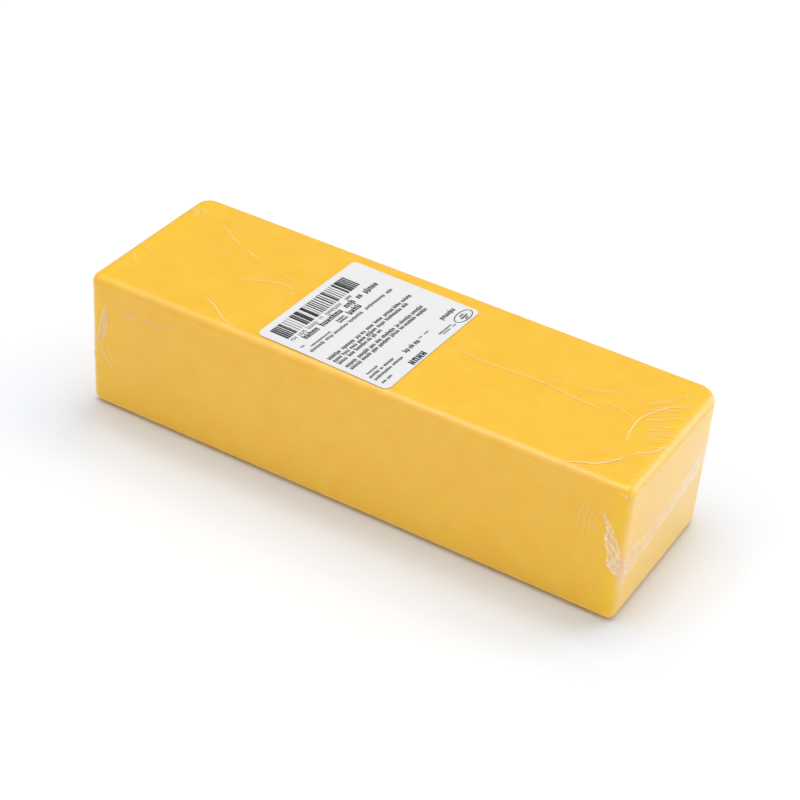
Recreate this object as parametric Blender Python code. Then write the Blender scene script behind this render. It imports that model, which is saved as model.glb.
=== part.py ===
"""A long loaf of cheese in a clear shrink bag, with a paper weigh label on its top face.

The loaf lies along X on the floor, its long sides facing -Y and +Y, with +Z up. The origin is the
middle of the footprint. Units are metres. The bag clings to the cheese all over, so the two are one
solid. It carries the forms that the film adds: the seal across each end, the four ears that the
ends of the seals make, and the gathers where the film was drawn in.
"""

import math
import random

import bmesh
import bpy
from mathutils import Matrix, Vector

# The loaf. Its width is taken at half its height.
LENGTH = 0.282
WIDTH = 0.094
HEIGHT = 0.0725
HALF = Vector((LENGTH, WIDTH, HEIGHT)) / 2
TOP_EDGE_RADIUS = 0.0039
BOTTOM_EDGE_RADIUS = 0.0048
UPRIGHT_EDGE_RADII = {  # by end (-1 left, 1 right) and by side (-1 front, 1 back)
    (-1, -1): 0.0050,
    (-1, 1): 0.0085,
    (1, -1): 0.0040,
    (1, 1): 0.0103,
}
FRONT_DRAFT = 0.0011  # how much further out the front face is at its top than at its foot
END_BULGE = 0.0010
SIDE_BULGE = 0.0003
TOP_CROWN = 0.0003

# Shallow hollows and swells, as the mould and the knife leave them.
UNEVEN_SEED = 7
UNEVEN_COUNT = 26
UNEVEN_DEPTH = 0.0003
UNEVEN_REACH = (0.014, 0.030)

# The film, drawn in at both ends and sealed across them.
GATHER_PITCH = 0.0085
GATHER_HEIGHT = 0.0003
GATHER_REACH = 0.026  # how far in from the ends the gathers run
SEAL_MIDDLE = 0.0345  # height of the seal's centre line at the middle of the end face
SEAL_RISE = 0.0080  # how much higher it lies at the back than in the middle
SEAL_WIDTH = 0.0085
SEAL_SHOULDER = 0.0025  # over which the strip falls to the face, half of it inside its width
SEAL_HEIGHT = 0.0006

# The grid that the loaf is made on: close at the rounded edges, then fine, then coarse.
EDGE_STATIONS = (0.0014, 0.0032, 0.0055, 0.0085, 0.0120)  # in from every face
FINE_REACH = 0.0310  # in from the ends
FINE_PITCH = 0.0048
MIDDLE_PITCH = 0.0180
ACROSS_PITCH = 0.0042
UPRIGHT_PITCH = 0.0060

# The ears, laid back against the long sides. By end and side: their size as a share of the full
# one, how far the free edge stands off, and the height at which they start.
EARS = {
    (1, -1): (1.00, 0.0024, 0.0255),
    (1, 1): (0.85, 0.0024, 0.0300),
    (-1, -1): (0.80, 0.0019, 0.0320),
    (-1, 1): (0.90, 0.0021, 0.0280),
}
EAR_LENGTH = 0.0325
EAR_REACH = 0.0127  # from the end of the loaf to the tip of the ear
EAR_ROOT = 0.37  # share of its length over which it is joined to the upright edge
EAR_WALL = 0.0008
EAR_BURIED = 0.0012  # how deep the root and the tip sink into the loaf
EAR_CRUMPLE = 0.15  # of the stand-off
EAR_ROWS = 14
EAR_COLUMNS = 4

# The label.
LABEL_LENGTH = 0.0705
LABEL_WIDTH = 0.0790
LABEL_CENTRE = Vector((-0.0135, -0.0034))
LABEL_TURN = math.radians(-1.65)
LABEL_CORNER = 0.0030
LABEL_THICKNESS = 0.0003
LABEL_EDGE_STATIONS = (0.0007, 0.0016, 0.0030)
LABEL_PITCH = 0.0090

GAP = 0.0003  # left between solids that touch


def clear_scene():
    for obj in list(bpy.data.objects):
        bpy.data.objects.remove(obj)


def smoothstep(low, high, value):
    """0 up to low, 1 from high on, and a smooth rise between them."""
    t = min(max((value - low) / (high - low), 0.0), 1.0)
    return t * t * (3 - 2 * t)


def make_material(name, colour, roughness, metallic=0.0):
    material = bpy.data.materials.new(name)
    material.use_nodes = True
    shader = material.node_tree.nodes["Principled BSDF"]
    shader.inputs["Base Color"].default_value = (*colour, 1.0)
    shader.inputs["Roughness"].default_value = roughness
    shader.inputs["Metallic"].default_value = metallic
    return material


# --- grids ----------------------------------------------------------------------------------


def mirrored(half, insets):
    """Stations at the given distances in from both ends of a side 2 * half long."""
    upper = [half - inset for inset in insets]
    return upper + [-value for value in upper]


def between(half, pitch):
    """Stations inside a stretch from -half to half, in equal steps near the pitch."""
    count = max(1, round(2 * half / pitch))
    return [half * (2 * i / count - 1) for i in range(1, count)]


def cut_box(size, planes):
    """A box centred on the origin, cut into a grid at the given stations on each axis."""
    bm = bmesh.new()
    bmesh.ops.create_cube(bm, size=1.0)
    bmesh.ops.scale(bm, vec=size, verts=bm.verts)
    for axis, stations in enumerate(planes):
        way = Vector([float(i == axis) for i in range(3)])
        for station in stations:
            geometry = [*bm.verts, *bm.edges, *bm.faces]
            bmesh.ops.bisect_plane(
                bm, geom=geometry, dist=1e-6, plane_co=way * station, plane_no=way
            )
    return bm


def add_object(name, bm, material):
    """The bmesh as a named object, shaded smooth, with its material."""
    bmesh.ops.recalc_face_normals(bm, faces=bm.faces)
    mesh = bpy.data.meshes.new(name)
    bm.to_mesh(mesh)
    bm.free()
    mesh.shade_smooth()
    mesh.set_sharp_from_angle(angle=math.radians(50))
    mesh.materials.append(material)
    obj = bpy.data.objects.new(name, mesh)
    bpy.context.scene.collection.objects.link(obj)
    return obj


# --- the form of the loaf -------------------------------------------------------------------


def round_corner(x, y, half_x, half_y, radius):
    """A point of a rectangle with its square corners drawn into quarter circles.

    Returns the new point, how far inside the outline it lies, and the way out to the outline.
    """
    over_x = abs(x) - (half_x - radius)
    over_y = abs(y) - (half_y - radius)
    sign_x, sign_y = math.copysign(1, x), math.copysign(1, y)
    if over_x > 0 and over_y > 0:
        ring = max(over_x, over_y)
        way = Vector((sign_x * over_x, sign_y * over_y)).normalized()
        centre = Vector((sign_x * (half_x - radius), sign_y * (half_y - radius)))
        return centre + way * ring, radius - ring, way
    if half_x - abs(x) < half_y - abs(y):
        return Vector((x, y)), half_x - abs(x), Vector((sign_x, 0))
    return Vector((x, y)), half_y - abs(y), Vector((0, sign_y))


def make_hollows():
    """Places, reaches and depths of the loaf's shallow hollows and swells."""
    draw = random.Random(UNEVEN_SEED)
    hollows = []
    for _ in range(UNEVEN_COUNT):
        x = draw.uniform(-HALF.x, HALF.x)
        y = draw.choice((-HALF.y, draw.uniform(-HALF.y, HALF.y), HALF.y))
        z = draw.uniform(-HALF.z, HALF.z)
        reach = draw.uniform(*UNEVEN_REACH)
        depth = draw.uniform(-UNEVEN_DEPTH, UNEVEN_DEPTH)
        hollows.append((Vector((x, y, z)), reach, depth))
    return hollows


HOLLOWS = make_hollows()


def unevenness(point):
    """The sum of the hollows and swells, each a bell that fades over its reach."""
    return sum(
        depth * math.exp(-(point - place).length_squared / reach**2)
        for place, reach, depth in HOLLOWS
    )


def bulges(point, normal):
    """The slight pillowing of every face, nothing at its edges."""
    across = [max(0.0, 1 - (point[i] / HALF[i]) ** 2) for i in range(3)]
    end = END_BULGE * abs(normal.x) * across[1] * across[2]
    side = SIDE_BULGE * abs(normal.y) * across[0] * across[2]
    crown = TOP_CROWN * max(normal.z, 0.0) * across[0] * across[1]
    return end + side + crown


def gathers(point, normal):
    """Ribs of film that run in from the ends and fade, on the top and on the long sides."""
    around = point.y if abs(normal.z) > abs(normal.y) else point.z
    fade = 1 - smoothstep(0.004, GATHER_REACH, HALF.x - abs(point.x))
    wander = 0.8 * math.sin(around * 90 + point.x * 40)
    rib = math.sin(2 * math.pi * around / GATHER_PITCH + wander)
    return GATHER_HEIGHT * fade * rib * (1 - abs(normal.x))


def seal_height(y):
    """Height of the seal's centre line above the floor, which climbs towards the back."""
    return SEAL_MIDDLE + SEAL_RISE * y / HALF.y


def along_seal(point):
    """Slides a grid point up or down so that the grid's middle rows run along the seal."""
    slide = (seal_height(point.y) - SEAL_MIDDLE) * (1 - smoothstep(0.25, 0.65, abs(point.z) / HALF.z))
    return Vector((point.x, point.y, point.z + slide))


def seal(point, normal):
    """The doubled strip of film that lies across each end face."""
    off = abs(point.z + HALF.z - seal_height(point.y))
    strip = 1 - smoothstep((SEAL_WIDTH - SEAL_SHOULDER) / 2, (SEAL_WIDTH + SEAL_SHOULDER) / 2, off)
    return SEAL_HEIGHT * strip * smoothstep(0.5, 0.9, abs(normal.x))


def loaf_point(point, with_film=True):
    """Where a point on the faces of the plain box lies on the loaf, and its normal there.

    The box is centred on the origin. Its upright edges are rounded in plan, then its top and bottom
    edges in profile, and the relief of cheese and film is added along the normal. The foot is flat.
    """
    corner = (int(math.copysign(1, point.x)), int(math.copysign(1, point.y)))
    plan, inset, way = round_corner(point.x, point.y, HALF.x, HALF.y, UPRIGHT_EDGE_RADII[corner])
    radius = TOP_EDGE_RADIUS if point.z > 0 else BOTTOM_EDGE_RADIUS
    out = max(0.0, radius - inset)
    up = max(0.0, radius - (HALF.z - abs(point.z)))
    on_loaf = Vector((plan.x, plan.y, point.z))
    normal = Vector((way.x * out, way.y * out, math.copysign(up, point.z)))
    if out > 0 and up > 0:
        on_loaf += normal * (radius / normal.length - 1)
    normal.normalize()
    relief = bulges(on_loaf, normal) + unevenness(on_loaf)
    if with_film:
        relief += gathers(on_loaf, normal) + seal(on_loaf, normal)
    on_loaf += normal * relief * (1 - max(0.0, -normal.z))
    if on_loaf.y < 0:
        on_loaf.y += FRONT_DRAFT * on_loaf.z / HEIGHT * on_loaf.y / HALF.y
    on_loaf.z += HALF.z
    return on_loaf, normal


def make_loaf(material):
    """The cheese in its film, as a box cut into a grid and drawn out to the loaf's surface."""
    fine_count = round((FINE_REACH - EDGE_STATIONS[-1]) / FINE_PITCH)
    fine_step = (FINE_REACH - EDGE_STATIONS[-1]) / fine_count
    fine = [EDGE_STATIONS[-1] + fine_step * (i + 1) for i in range(fine_count)]
    along = mirrored(HALF.x, (*EDGE_STATIONS, *fine)) + between(HALF.x - FINE_REACH, MIDDLE_PITCH)
    inner = EDGE_STATIONS[-1]
    across = mirrored(HALF.y, EDGE_STATIONS) + between(HALF.y - inner, ACROSS_PITCH)
    upright = mirrored(HALF.z, EDGE_STATIONS)
    half_seal, half_shoulder = SEAL_WIDTH / 2, SEAL_SHOULDER / 2
    for off in (half_seal - half_shoulder, half_seal, half_seal + half_shoulder, 0.0105, 0.0170):
        upright += [SEAL_MIDDLE - HALF.z - off, SEAL_MIDDLE - HALF.z + off]
    bm = cut_box(HALF * 2, (along, across, upright))
    for vert in bm.verts:
        vert.co = loaf_point(along_seal(vert.co))[0]
    return add_object("wrapped_cheese", bm, material)


# --- the ears at the ends of the seals ------------------------------------------------------


def ear_point(end, side, along, across, inner):
    """A point of an ear's outer skin, or of its inner one.

    along runs from 0 at the foot to 1 at the tip, and across from 0 at the edge that is joined to
    the loaf's upright edge to 1 at the free edge. The ear is a folded triangle with its tip up. Its
    inner skin is buried in the loaf, and comes out of it under the free edge.
    """
    size, stand_off, foot = EARS[end, side]
    free = along**0.45
    joined = 0.05 + 0.95 * max(0.0, (along - EAR_ROOT) / (1 - EAR_ROOT)) ** 1.4
    inset = size * EAR_REACH * (joined + (free - joined) * across)
    height = foot + size * EAR_LENGTH * along
    on_box = Vector((end * (HALF.x - inset), side * HALF.y, height - HALF.z))
    point, _ = loaf_point(on_box, with_film=False)
    bow = math.sin(math.pi * (0.10 + 0.86 * along))
    crumple = EAR_CRUMPLE * math.sin(9.0 * along + 5.0 * across + end)
    lift = stand_off * across * (bow + crumple)
    lift -= EAR_BURIED * max(1 - smoothstep(0.0, 0.35, across), smoothstep(0.85, 1.0, along))
    if inner:
        lift -= EAR_WALL + (stand_off + EAR_BURIED) * (1 - smoothstep(0.55, 1.0, across))
    point.y += side * lift
    return point


def make_ear(end, side, material):
    """One ear: two skins made on the same grid, joined round their rims."""
    bm = bmesh.new()
    for inner in (False, True):
        rows = [
            [
                bm.verts.new(ear_point(end, side, i / EAR_ROWS, j / EAR_COLUMNS, inner))
                for j in range(EAR_COLUMNS + 1)
            ]
            for i in range(1, EAR_ROWS)
        ]
        for lower, upper in zip(rows, rows[1:]):
            for j in range(EAR_COLUMNS):
                bm.faces.new((lower[j], lower[j + 1], upper[j + 1], upper[j]))
    rims = [edge for edge in bm.edges if edge.is_boundary]
    bmesh.ops.bridge_loops(bm, edges=rims)
    return add_object(f"ear_{end}_{side}", bm, material)


def fuse_ears(loaf, material):
    """Joins the four ears to the loaf by one Boolean union, then removes the loose ears."""
    ears = bpy.data.collections.new("ears")
    bpy.context.scene.collection.children.link(ears)
    for end, side in EARS:
        ear = make_ear(end, side, material)
        bpy.context.scene.collection.objects.unlink(ear)
        ears.objects.link(ear)
    union = loaf.modifiers.new("Ears", "BOOLEAN")
    union.operation = "UNION"
    union.operand_type = "COLLECTION"
    union.collection = ears
    union.solver = "EXACT"
    graph = bpy.context.evaluated_depsgraph_get()
    fused = bpy.data.meshes.new_from_object(loaf.evaluated_get(graph))
    loaf.modifiers.remove(union)
    loaf.data = fused
    for ear in list(ears.objects):
        bpy.data.objects.remove(ear)
    bpy.data.collections.remove(ears)


# --- the label ------------------------------------------------------------------------------


def make_label(material):
    """A thin sheet with round corners, which follows the top of the loaf out to its front edge."""
    half_x, half_y = LABEL_LENGTH / 2, LABEL_WIDTH / 2
    inner = LABEL_EDGE_STATIONS[-1]
    planes = [
        mirrored(half, LABEL_EDGE_STATIONS) + between(half - inner, LABEL_PITCH)
        for half in (half_x, half_y)
    ]
    bm = cut_box(Vector((LABEL_LENGTH, LABEL_WIDTH, LABEL_THICKNESS)), planes)
    turn = Matrix.Rotation(LABEL_TURN, 2)
    for vert in bm.verts:
        flat, _, _ = round_corner(vert.co.x, vert.co.y, half_x, half_y, LABEL_CORNER)
        plan = turn @ flat + LABEL_CENTRE
        rise = GAP + (LABEL_THICKNESS if vert.co.z > 0 else 0.0)
        on_loaf, normal = loaf_point(Vector((plan.x, plan.y, HALF.z)))
        vert.co = on_loaf + normal * rise
    return add_object("label", bm, material)


def centre_on_origin(objects):
    """Moves the meshes so that the middle of their footprint is the origin, at floor level."""
    points = [vert.co for obj in objects for vert in obj.data.vertices]
    low = [min(point[i] for point in points) for i in range(3)]
    high = [max(point[i] for point in points) for i in range(3)]
    shift = Vector((-(low[0] + high[0]) / 2, -(low[1] + high[1]) / 2, -low[2]))
    for obj in objects:
        obj.data.transform(Matrix.Translation(shift))


def main():
    clear_scene()
    film = make_material("clear_film_on_cheese", (0.93, 0.56, 0.09), 0.32)
    paper = make_material("label_paper", (0.86, 0.86, 0.86), 0.55)
    loaf = make_loaf(film)
    fuse_ears(loaf, film)
    label = make_label(paper)
    centre_on_origin([loaf, label])


main()
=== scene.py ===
"""The looks of a film-wrapped cheese loaf with a paper weigh label.

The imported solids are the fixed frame. Round them this script makes the fine surface: the cheese
itself, the clear shrink film over it with its pleats and creases, the welded seal across each end,
the crumpled film ears at the ends of the seals, and the label with its print. Everything that lies
on the loaf is placed on one form, a box with rounded edges, so it all fits together.

Units are metres. +X runs along the loaf, +Y from its front to its back, and +Z up.
"""

import logging
import math
import random
from dataclasses import dataclass
from enum import Enum
from typing import Any, Sequence

import bpy
import numpy as np
from mathutils import Euler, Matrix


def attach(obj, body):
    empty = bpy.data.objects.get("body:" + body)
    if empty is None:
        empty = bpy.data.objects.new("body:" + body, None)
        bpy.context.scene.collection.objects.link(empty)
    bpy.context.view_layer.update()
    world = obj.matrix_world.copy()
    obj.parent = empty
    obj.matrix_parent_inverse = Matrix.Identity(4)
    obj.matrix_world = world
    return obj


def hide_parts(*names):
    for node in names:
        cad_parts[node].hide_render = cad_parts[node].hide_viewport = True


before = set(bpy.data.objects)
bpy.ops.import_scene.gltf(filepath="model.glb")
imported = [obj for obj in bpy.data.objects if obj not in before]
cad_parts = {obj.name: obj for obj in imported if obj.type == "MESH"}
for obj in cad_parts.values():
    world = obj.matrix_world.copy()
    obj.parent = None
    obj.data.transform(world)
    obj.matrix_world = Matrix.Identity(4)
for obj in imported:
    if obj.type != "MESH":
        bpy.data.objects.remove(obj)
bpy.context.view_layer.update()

BODY = "root"
MM = 0.001
TINY = 1e-12  # keeps a length that something is divided by from being nothing
SAME_DIGITS = 7  # decimals of a metre: points that round to the same place are merged
TO_MIDDLE = 1.0  # a reach past the middle of every side
SUNK = 0.4 * MM  # how far the undersides of thin pieces are sunk in the cheese
SHARP = math.radians(50)  # an edge where faces turn by more than this is shaded sharp

# Sockets of a Mix node for colours, whose names repeat: share, first and second colour, result.
SHARE, FIRST, SECOND, MIXED = 0, 6, 7, 2

Array = np.ndarray
Colour = tuple[float, float, float, float]
Mark = tuple[float, float, float, float, float]  # left, top, right, bottom and tone

log = logging.getLogger("cheese_loaf")


# --- small helpers --------------------------------------------------------------------------


def srgb(code: str) -> Colour:
    """Turns an sRGB hex code into a linear colour.

    Args:
        code: Six hex digits, such as "f0c850".

    Returns:
        Linear red, green and blue, and an alpha of 1.
    """
    values = [int(code[i : i + 2], 16) / 255 for i in (0, 2, 4)]
    linear = [v / 12.92 if v <= 0.04045 else ((v + 0.055) / 1.055) ** 2.4 for v in values]
    return (*linear, 1.0)


def smoothstep(low: float, high: float, value: Array) -> Array:
    """0 up to low, 1 from high on, and the cubic 3t^2 - 2t^3 between them."""
    t = np.clip((value - low) / (high - low), 0.0, 1.0)
    return t * t * (3 - 2 * t)


def smooth_path(points: Sequence[Sequence[float]], count: int) -> Array:
    """A Catmull-Rom curve through a few points, read at equal steps of its parameter.

    Args:
        points: Two or more points with the same number of coordinates.
        count: How many points to return.

    Returns:
        The points of the curve, one row each. Between points p1 and p2 the curve is the cubic that
        leaves p1 along p2 - p0 and reaches p2 along p3 - p1, each halved.
    """
    knots = np.asarray(points, float)
    padded = np.vstack([2 * knots[0] - knots[1], knots, 2 * knots[-1] - knots[-2]])
    t = np.linspace(0, len(knots) - 1, count)
    i = np.minimum(t.astype(int), len(knots) - 2)
    t = (t - i)[:, None]
    p0, p1, p2, p3 = (padded[i + k] for k in range(4))
    return 0.5 * (
        2 * p1
        + (p2 - p0) * t
        + (2 * p0 - 5 * p1 + 4 * p2 - p3) * t**2
        + (3 * p1 - p0 - 3 * p2 + p3) * t**3
    )


def box_grid(stations: Sequence[Array]) -> tuple[Array, Array]:
    """The closed surface of a box as a grid of four-sided faces that point outwards.

    Args:
        stations: For each axis, the rising positions at which the box is divided.

    Returns:
        The points, one row each, and the faces as rows of four point numbers. Points that faces
        share along the box's edges are merged.
    """
    points, faces, start = [], [], 0
    for axis in range(3):
        across, up = (axis + 1) % 3, (axis + 2) % 3
        a, b = np.meshgrid(stations[across], stations[up], indexing="ij")
        for side in (0, -1):
            sheet = np.empty((*a.shape, 3))
            sheet[..., axis] = stations[axis][side]
            sheet[..., across], sheet[..., up] = a, b
            number = start + np.arange(a.size).reshape(a.shape)
            ring = [number[:-1, :-1], number[1:, :-1], number[1:, 1:], number[:-1, 1:]]
            if side == 0:
                ring.reverse()
            points.append(sheet.reshape(-1, 3))
            faces.append(np.stack([r.ravel() for r in ring], axis=1))
            start += a.size
    all_points = np.vstack(points)
    rounded = np.round(all_points * 10**SAME_DIGITS).astype(np.int64)
    _, first, where = np.unique(rounded, axis=0, return_index=True, return_inverse=True)
    return all_points[first], where.reshape(-1)[np.vstack(faces)]


def tube_faces(along: int, around: int, start: int) -> list[Array]:
    """Faces of a tube of points, capped by a fan at each end.

    Args:
        along: Rings of points.
        around: Points in each ring, counter-clockwise as seen from the far end.
        start: Number of the first point. The two fans' centres come after the rings.

    Returns:
        One array of four-sided faces and one of triangles.
    """
    ring = start + np.arange(along * around).reshape(along, around)
    turned = np.roll(ring, -1, axis=1)
    sides = np.stack([ring[:-1], turned[:-1], turned[1:], ring[1:]], axis=-1).reshape(-1, 4)
    low, high = start + along * around, start + along * around + 1
    ends = [
        np.stack([turned[0], ring[0], np.full(around, low)], axis=1),
        np.stack([ring[-1], turned[-1], np.full(around, high)], axis=1),
    ]
    return [sides, np.vstack(ends)]


def sheet_faces(columns: int, rows: int, flip: bool = False) -> Array:
    """Faces of a closed sheet made of two equal grids, outer points first, joined at the rim.

    Args:
        columns: Grid lines the first way.
        rows: Grid lines the second way.
        flip: Whether to turn all faces round.

    Returns:
        Rows of four point numbers.
    """
    outer = np.arange(columns * rows).reshape(columns, rows)
    inner = outer + columns * rows
    skins = []
    for grid, turned in ((outer, False), (inner, True)):
        ring = [grid[:-1, :-1], grid[1:, :-1], grid[1:, 1:], grid[:-1, 1:]]
        if turned:
            ring.reverse()
        skins.append(np.stack([r.ravel() for r in ring], axis=1))
    rim = np.concatenate([outer[:-1, 0], outer[-1, :-1], outer[:0:-1, -1], outer[0, :0:-1]])
    below = rim + columns * rows
    wall = np.stack([rim, below, np.roll(below, -1), np.roll(rim, -1)], axis=1)
    faces = np.vstack([*skins, wall])
    return faces[:, ::-1] if flip else faces


def make_piece(
    name: str,
    points: Array,
    faces: Sequence[Array],
    material: bpy.types.Material,
    attributes: dict[str, Array] | None = None,
    smooth: bool = True,
) -> bpy.types.Object:
    """Makes a mesh object at the origin from whole arrays.

    Args:
        name: The piece's name.
        points: One row for each point, in metres.
        faces: Arrays of faces, each with one row of point numbers for each face.
        material: The finish of the whole piece.
        attributes: Named values, one for each point, that the material reads.
        smooth: Whether the faces are shaded smooth.

    Returns:
        The new object, linked to the scene.
    """
    mesh = bpy.data.meshes.new(name)
    sizes = np.concatenate([np.full(len(f), f.shape[1]) for f in faces])
    corners = np.concatenate([f.ravel() for f in faces])
    mesh.vertices.add(len(points))
    mesh.vertices.foreach_set("co", points.astype(np.float32).ravel())
    mesh.loops.add(len(corners))
    mesh.loops.foreach_set("vertex_index", corners.astype(np.int32))
    mesh.polygons.add(len(sizes))
    starts = np.concatenate([[0], np.cumsum(sizes)[:-1]])
    mesh.polygons.foreach_set("loop_start", starts.astype(np.int32))
    mesh.update(calc_edges=True)
    mesh.validate()
    if smooth:
        mesh.shade_smooth()
        mesh.set_sharp_from_angle(angle=SHARP)
    for key, values in (attributes or {}).items():
        layer = mesh.attributes.new(key, "FLOAT", "POINT")
        layer.data.foreach_set("value", values.astype(np.float32))
    mesh.materials.append(material)
    piece = bpy.data.objects.new(name, mesh)
    bpy.context.scene.collection.objects.link(piece)
    return piece


def report(piece: bpy.types.Object) -> None:
    """Logs a finished piece's name and size in faces."""
    log.info("%s: %d faces", piece.name, len(piece.data.polygons))


# --- the form that everything lies on -------------------------------------------------------


@dataclass(frozen=True)
class LoafForm:
    """The loaf's form: a box with rounded edges, slightly pillowed and uneven, with a flat foot.

    Attributes:
        size: Length, width at half height, and height.
        top_edge: Radius of the edges round the top.
        bottom_edge: Radius of the edges round the foot.
        upright_edges: Radii of the upright edges: left front, left back, right front, right back.
        front_draft: How much further out the front face is at its top than at its foot.
        end_bulge: Pillowing of the ends.
        side_bulge: Pillowing of the long sides.
        top_crown: Pillowing of the top.
        uneven_seed: Seed of the shallow hollows and swells.
        uneven_count: How many of them there are.
        uneven_depth: The deepest.
        uneven_reach: Range of their reaches.
    """

    size: tuple[float, float, float] = (0.282, 0.094, 0.0725)
    top_edge: float = 0.0047
    bottom_edge: float = 0.0048
    upright_edges: tuple[float, ...] = (0.0050, 0.0085, 0.0040, 0.0103)
    front_draft: float = 0.0011
    end_bulge: float = 0.0010
    side_bulge: float = 0.0003
    top_crown: float = 0.0003
    uneven_seed: int = 7
    uneven_count: int = 26
    uneven_depth: float = 0.0003
    uneven_reach: tuple[float, float] = (0.014, 0.030)

    @property
    def half(self) -> Array:
        """Half the box's sizes."""
        return np.array(self.size) / 2

    def unevenness(self, points: Array) -> Array:
        """Height of the hollows and swells, each a bell exp(-(distance / reach)^2).

        Args:
            points: Places on the loaf, measured from its middle.

        Returns:
            One height for each point.
        """
        draw = random.Random(self.uneven_seed)
        half = self.half
        total = np.zeros(len(points))
        for _ in range(self.uneven_count):
            x = draw.uniform(-half[0], half[0])
            y = draw.choice((-half[1], draw.uniform(-half[1], half[1]), half[1]))
            z = draw.uniform(-half[2], half[2])
            reach = draw.uniform(*self.uneven_reach)
            depth = draw.uniform(-self.uneven_depth, self.uneven_depth)
            off = ((points - np.array((x, y, z))) ** 2).sum(axis=1)
            total += depth * np.exp(-off / reach**2)
        return total

    def bulges(self, points: Array, normals: Array) -> Array:
        """Pillowing of each face: its height times 1 - t^2 across and along, 0 at the edges.

        Args:
            points: Places on the loaf, measured from its middle.
            normals: Normals there.

        Returns:
            One height for each point.
        """
        inside = np.clip(1 - (points / self.half) ** 2, 0, None)
        end = self.end_bulge * np.abs(normals[:, 0]) * inside[:, 1] * inside[:, 2]
        side = self.side_bulge * np.abs(normals[:, 1]) * inside[:, 0] * inside[:, 2]
        crown = self.top_crown * np.clip(normals[:, 2], 0, None) * inside[:, 0] * inside[:, 1]
        return end + side + crown

    def place(self, box_points: Array, rise: Array | float = 0.0) -> tuple[Array, Array]:
        """Draws points of the plain box onto the loaf.

        The upright edges are rounded in plan: in a corner a point keeps its distance from the
        outline, and its way out of the rounding's centre. Then the top and bottom edges are
        rounded in profile in the same way. The relief is added along the normal.

        Args:
            box_points: Points on the faces of the box, whose foot is centred on the origin.
            rise: How far above the loaf's surface the points are lifted, along the normal.

        Returns:
            The points on the loaf, and the normals there.
        """
        half = self.half
        centred = box_points - np.array((0, 0, half[2]))
        sign = np.where(centred < 0, -1.0, 1.0)
        corner = (sign[:, 0] > 0) * 2 + (sign[:, 1] > 0)
        radius = np.array(self.upright_edges)[corner.astype(int)]
        over = np.abs(centred[:, :2]) - (half[:2] - radius[:, None])
        in_corner = (over > 0).all(axis=1)
        ring = over.max(axis=1)
        reach = np.maximum(np.hypot(over[:, 0], over[:, 1]), TINY)
        way = sign[:, :2] * over / reach[:, None]
        centre = sign[:, :2] * (half[:2] - radius[:, None])
        inside = half[:2] - np.abs(centred[:, :2])
        by_end = inside[:, 0] < inside[:, 1]
        way_out = np.stack([sign[:, 0] * by_end, sign[:, 1] * ~by_end], axis=1)
        way = np.where(in_corner[:, None], way, way_out)
        plan = np.where(in_corner[:, None], centre + way * ring[:, None], centred[:, :2])
        inset = np.where(in_corner, radius - ring, inside.min(axis=1))
        edge = np.where(centred[:, 2] > 0, self.top_edge, self.bottom_edge)
        out = np.clip(edge - inset, 0, None)
        up = np.clip(edge - (half[2] - np.abs(centred[:, 2])), 0, None)
        normals = np.column_stack([way * out[:, None], sign[:, 2] * up])
        length = np.maximum(np.linalg.norm(normals, axis=1), TINY)
        rounded = np.where((out > 0) & (up > 0), edge / length - 1, 0)
        points = np.column_stack([plan, centred[:, 2]]) + normals * rounded[:, None]
        normals /= length[:, None]
        relief = self.bulges(points, normals) + self.unevenness(points) + rise
        floor_free = 1 - np.clip(-normals[:, 2], 0, None)
        points = points + normals * (relief * floor_free)[:, None]
        front = np.clip(-points[:, 1] / half[1], 0, None)
        points[:, 1] -= self.front_draft * points[:, 2] / self.size[2] * front
        points[:, 2] += half[2]
        return points, normals


class Face(Enum):
    """A face of the box, by the axis that it is square to and the side that it is on."""

    TOP = (2, 1)
    FRONT = (1, -1)
    BACK = (1, 1)
    LEFT = (0, -1)
    RIGHT = (0, 1)

    def on_box(self, form: LoafForm, flat: Array) -> Array:
        """Puts flat points onto this face of the box, and round onto the next one past its edge.

        Args:
            form: The loaf's form.
            flat: Rows of two coordinates: the face's two other axes in X, Y, Z order, in metres.

        Returns:
            Points on the box. What runs over an edge is folded down the neighbouring face.
        """
        axis, side = self.value
        others = [k for k in range(3) if k != axis]
        low = np.array((-form.half[0], -form.half[1], 0.0))
        high = np.array((form.half[0], form.half[1], form.size[2]))
        points = np.empty((len(flat), 3))
        points[:, axis] = high[axis] if side > 0 else low[axis]
        for column, other in enumerate(others):
            wanted = flat[:, column]
            kept = np.clip(wanted, low[other], high[other])
            points[:, other] = kept
            points[:, axis] -= side * np.abs(wanted - kept)
        return points


# --- finishes -------------------------------------------------------------------------------


def add_node(
    tree: bpy.types.NodeTree,
    kind: str,
    settings: dict[str, Any] | None = None,
    inputs: dict[Any, Any] | None = None,
) -> bpy.types.Node:
    """Adds a node, sets its properties, and sets or links its inputs.

    Args:
        tree: The material's node tree.
        kind: The node's type name.
        settings: Properties of the node.
        inputs: Values or sockets, by the input's name or number.

    Returns:
        The node.
    """
    node = tree.nodes.new(kind)
    for name, value in (settings or {}).items():
        setattr(node, name, value)
    for name, value in (inputs or {}).items():
        if isinstance(value, bpy.types.NodeSocket):
            tree.links.new(value, node.inputs[name])
        else:
            node.inputs[name].default_value = value
    return node


def new_material(name: str) -> tuple[bpy.types.Material, bpy.types.NodeTree]:
    """Makes an empty node material.

    Args:
        name: Its name.

    Returns:
        The material and its tree.
    """
    material = bpy.data.materials.new(name)
    material.use_nodes = True
    material.node_tree.nodes.clear()
    return material, material.node_tree


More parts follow.
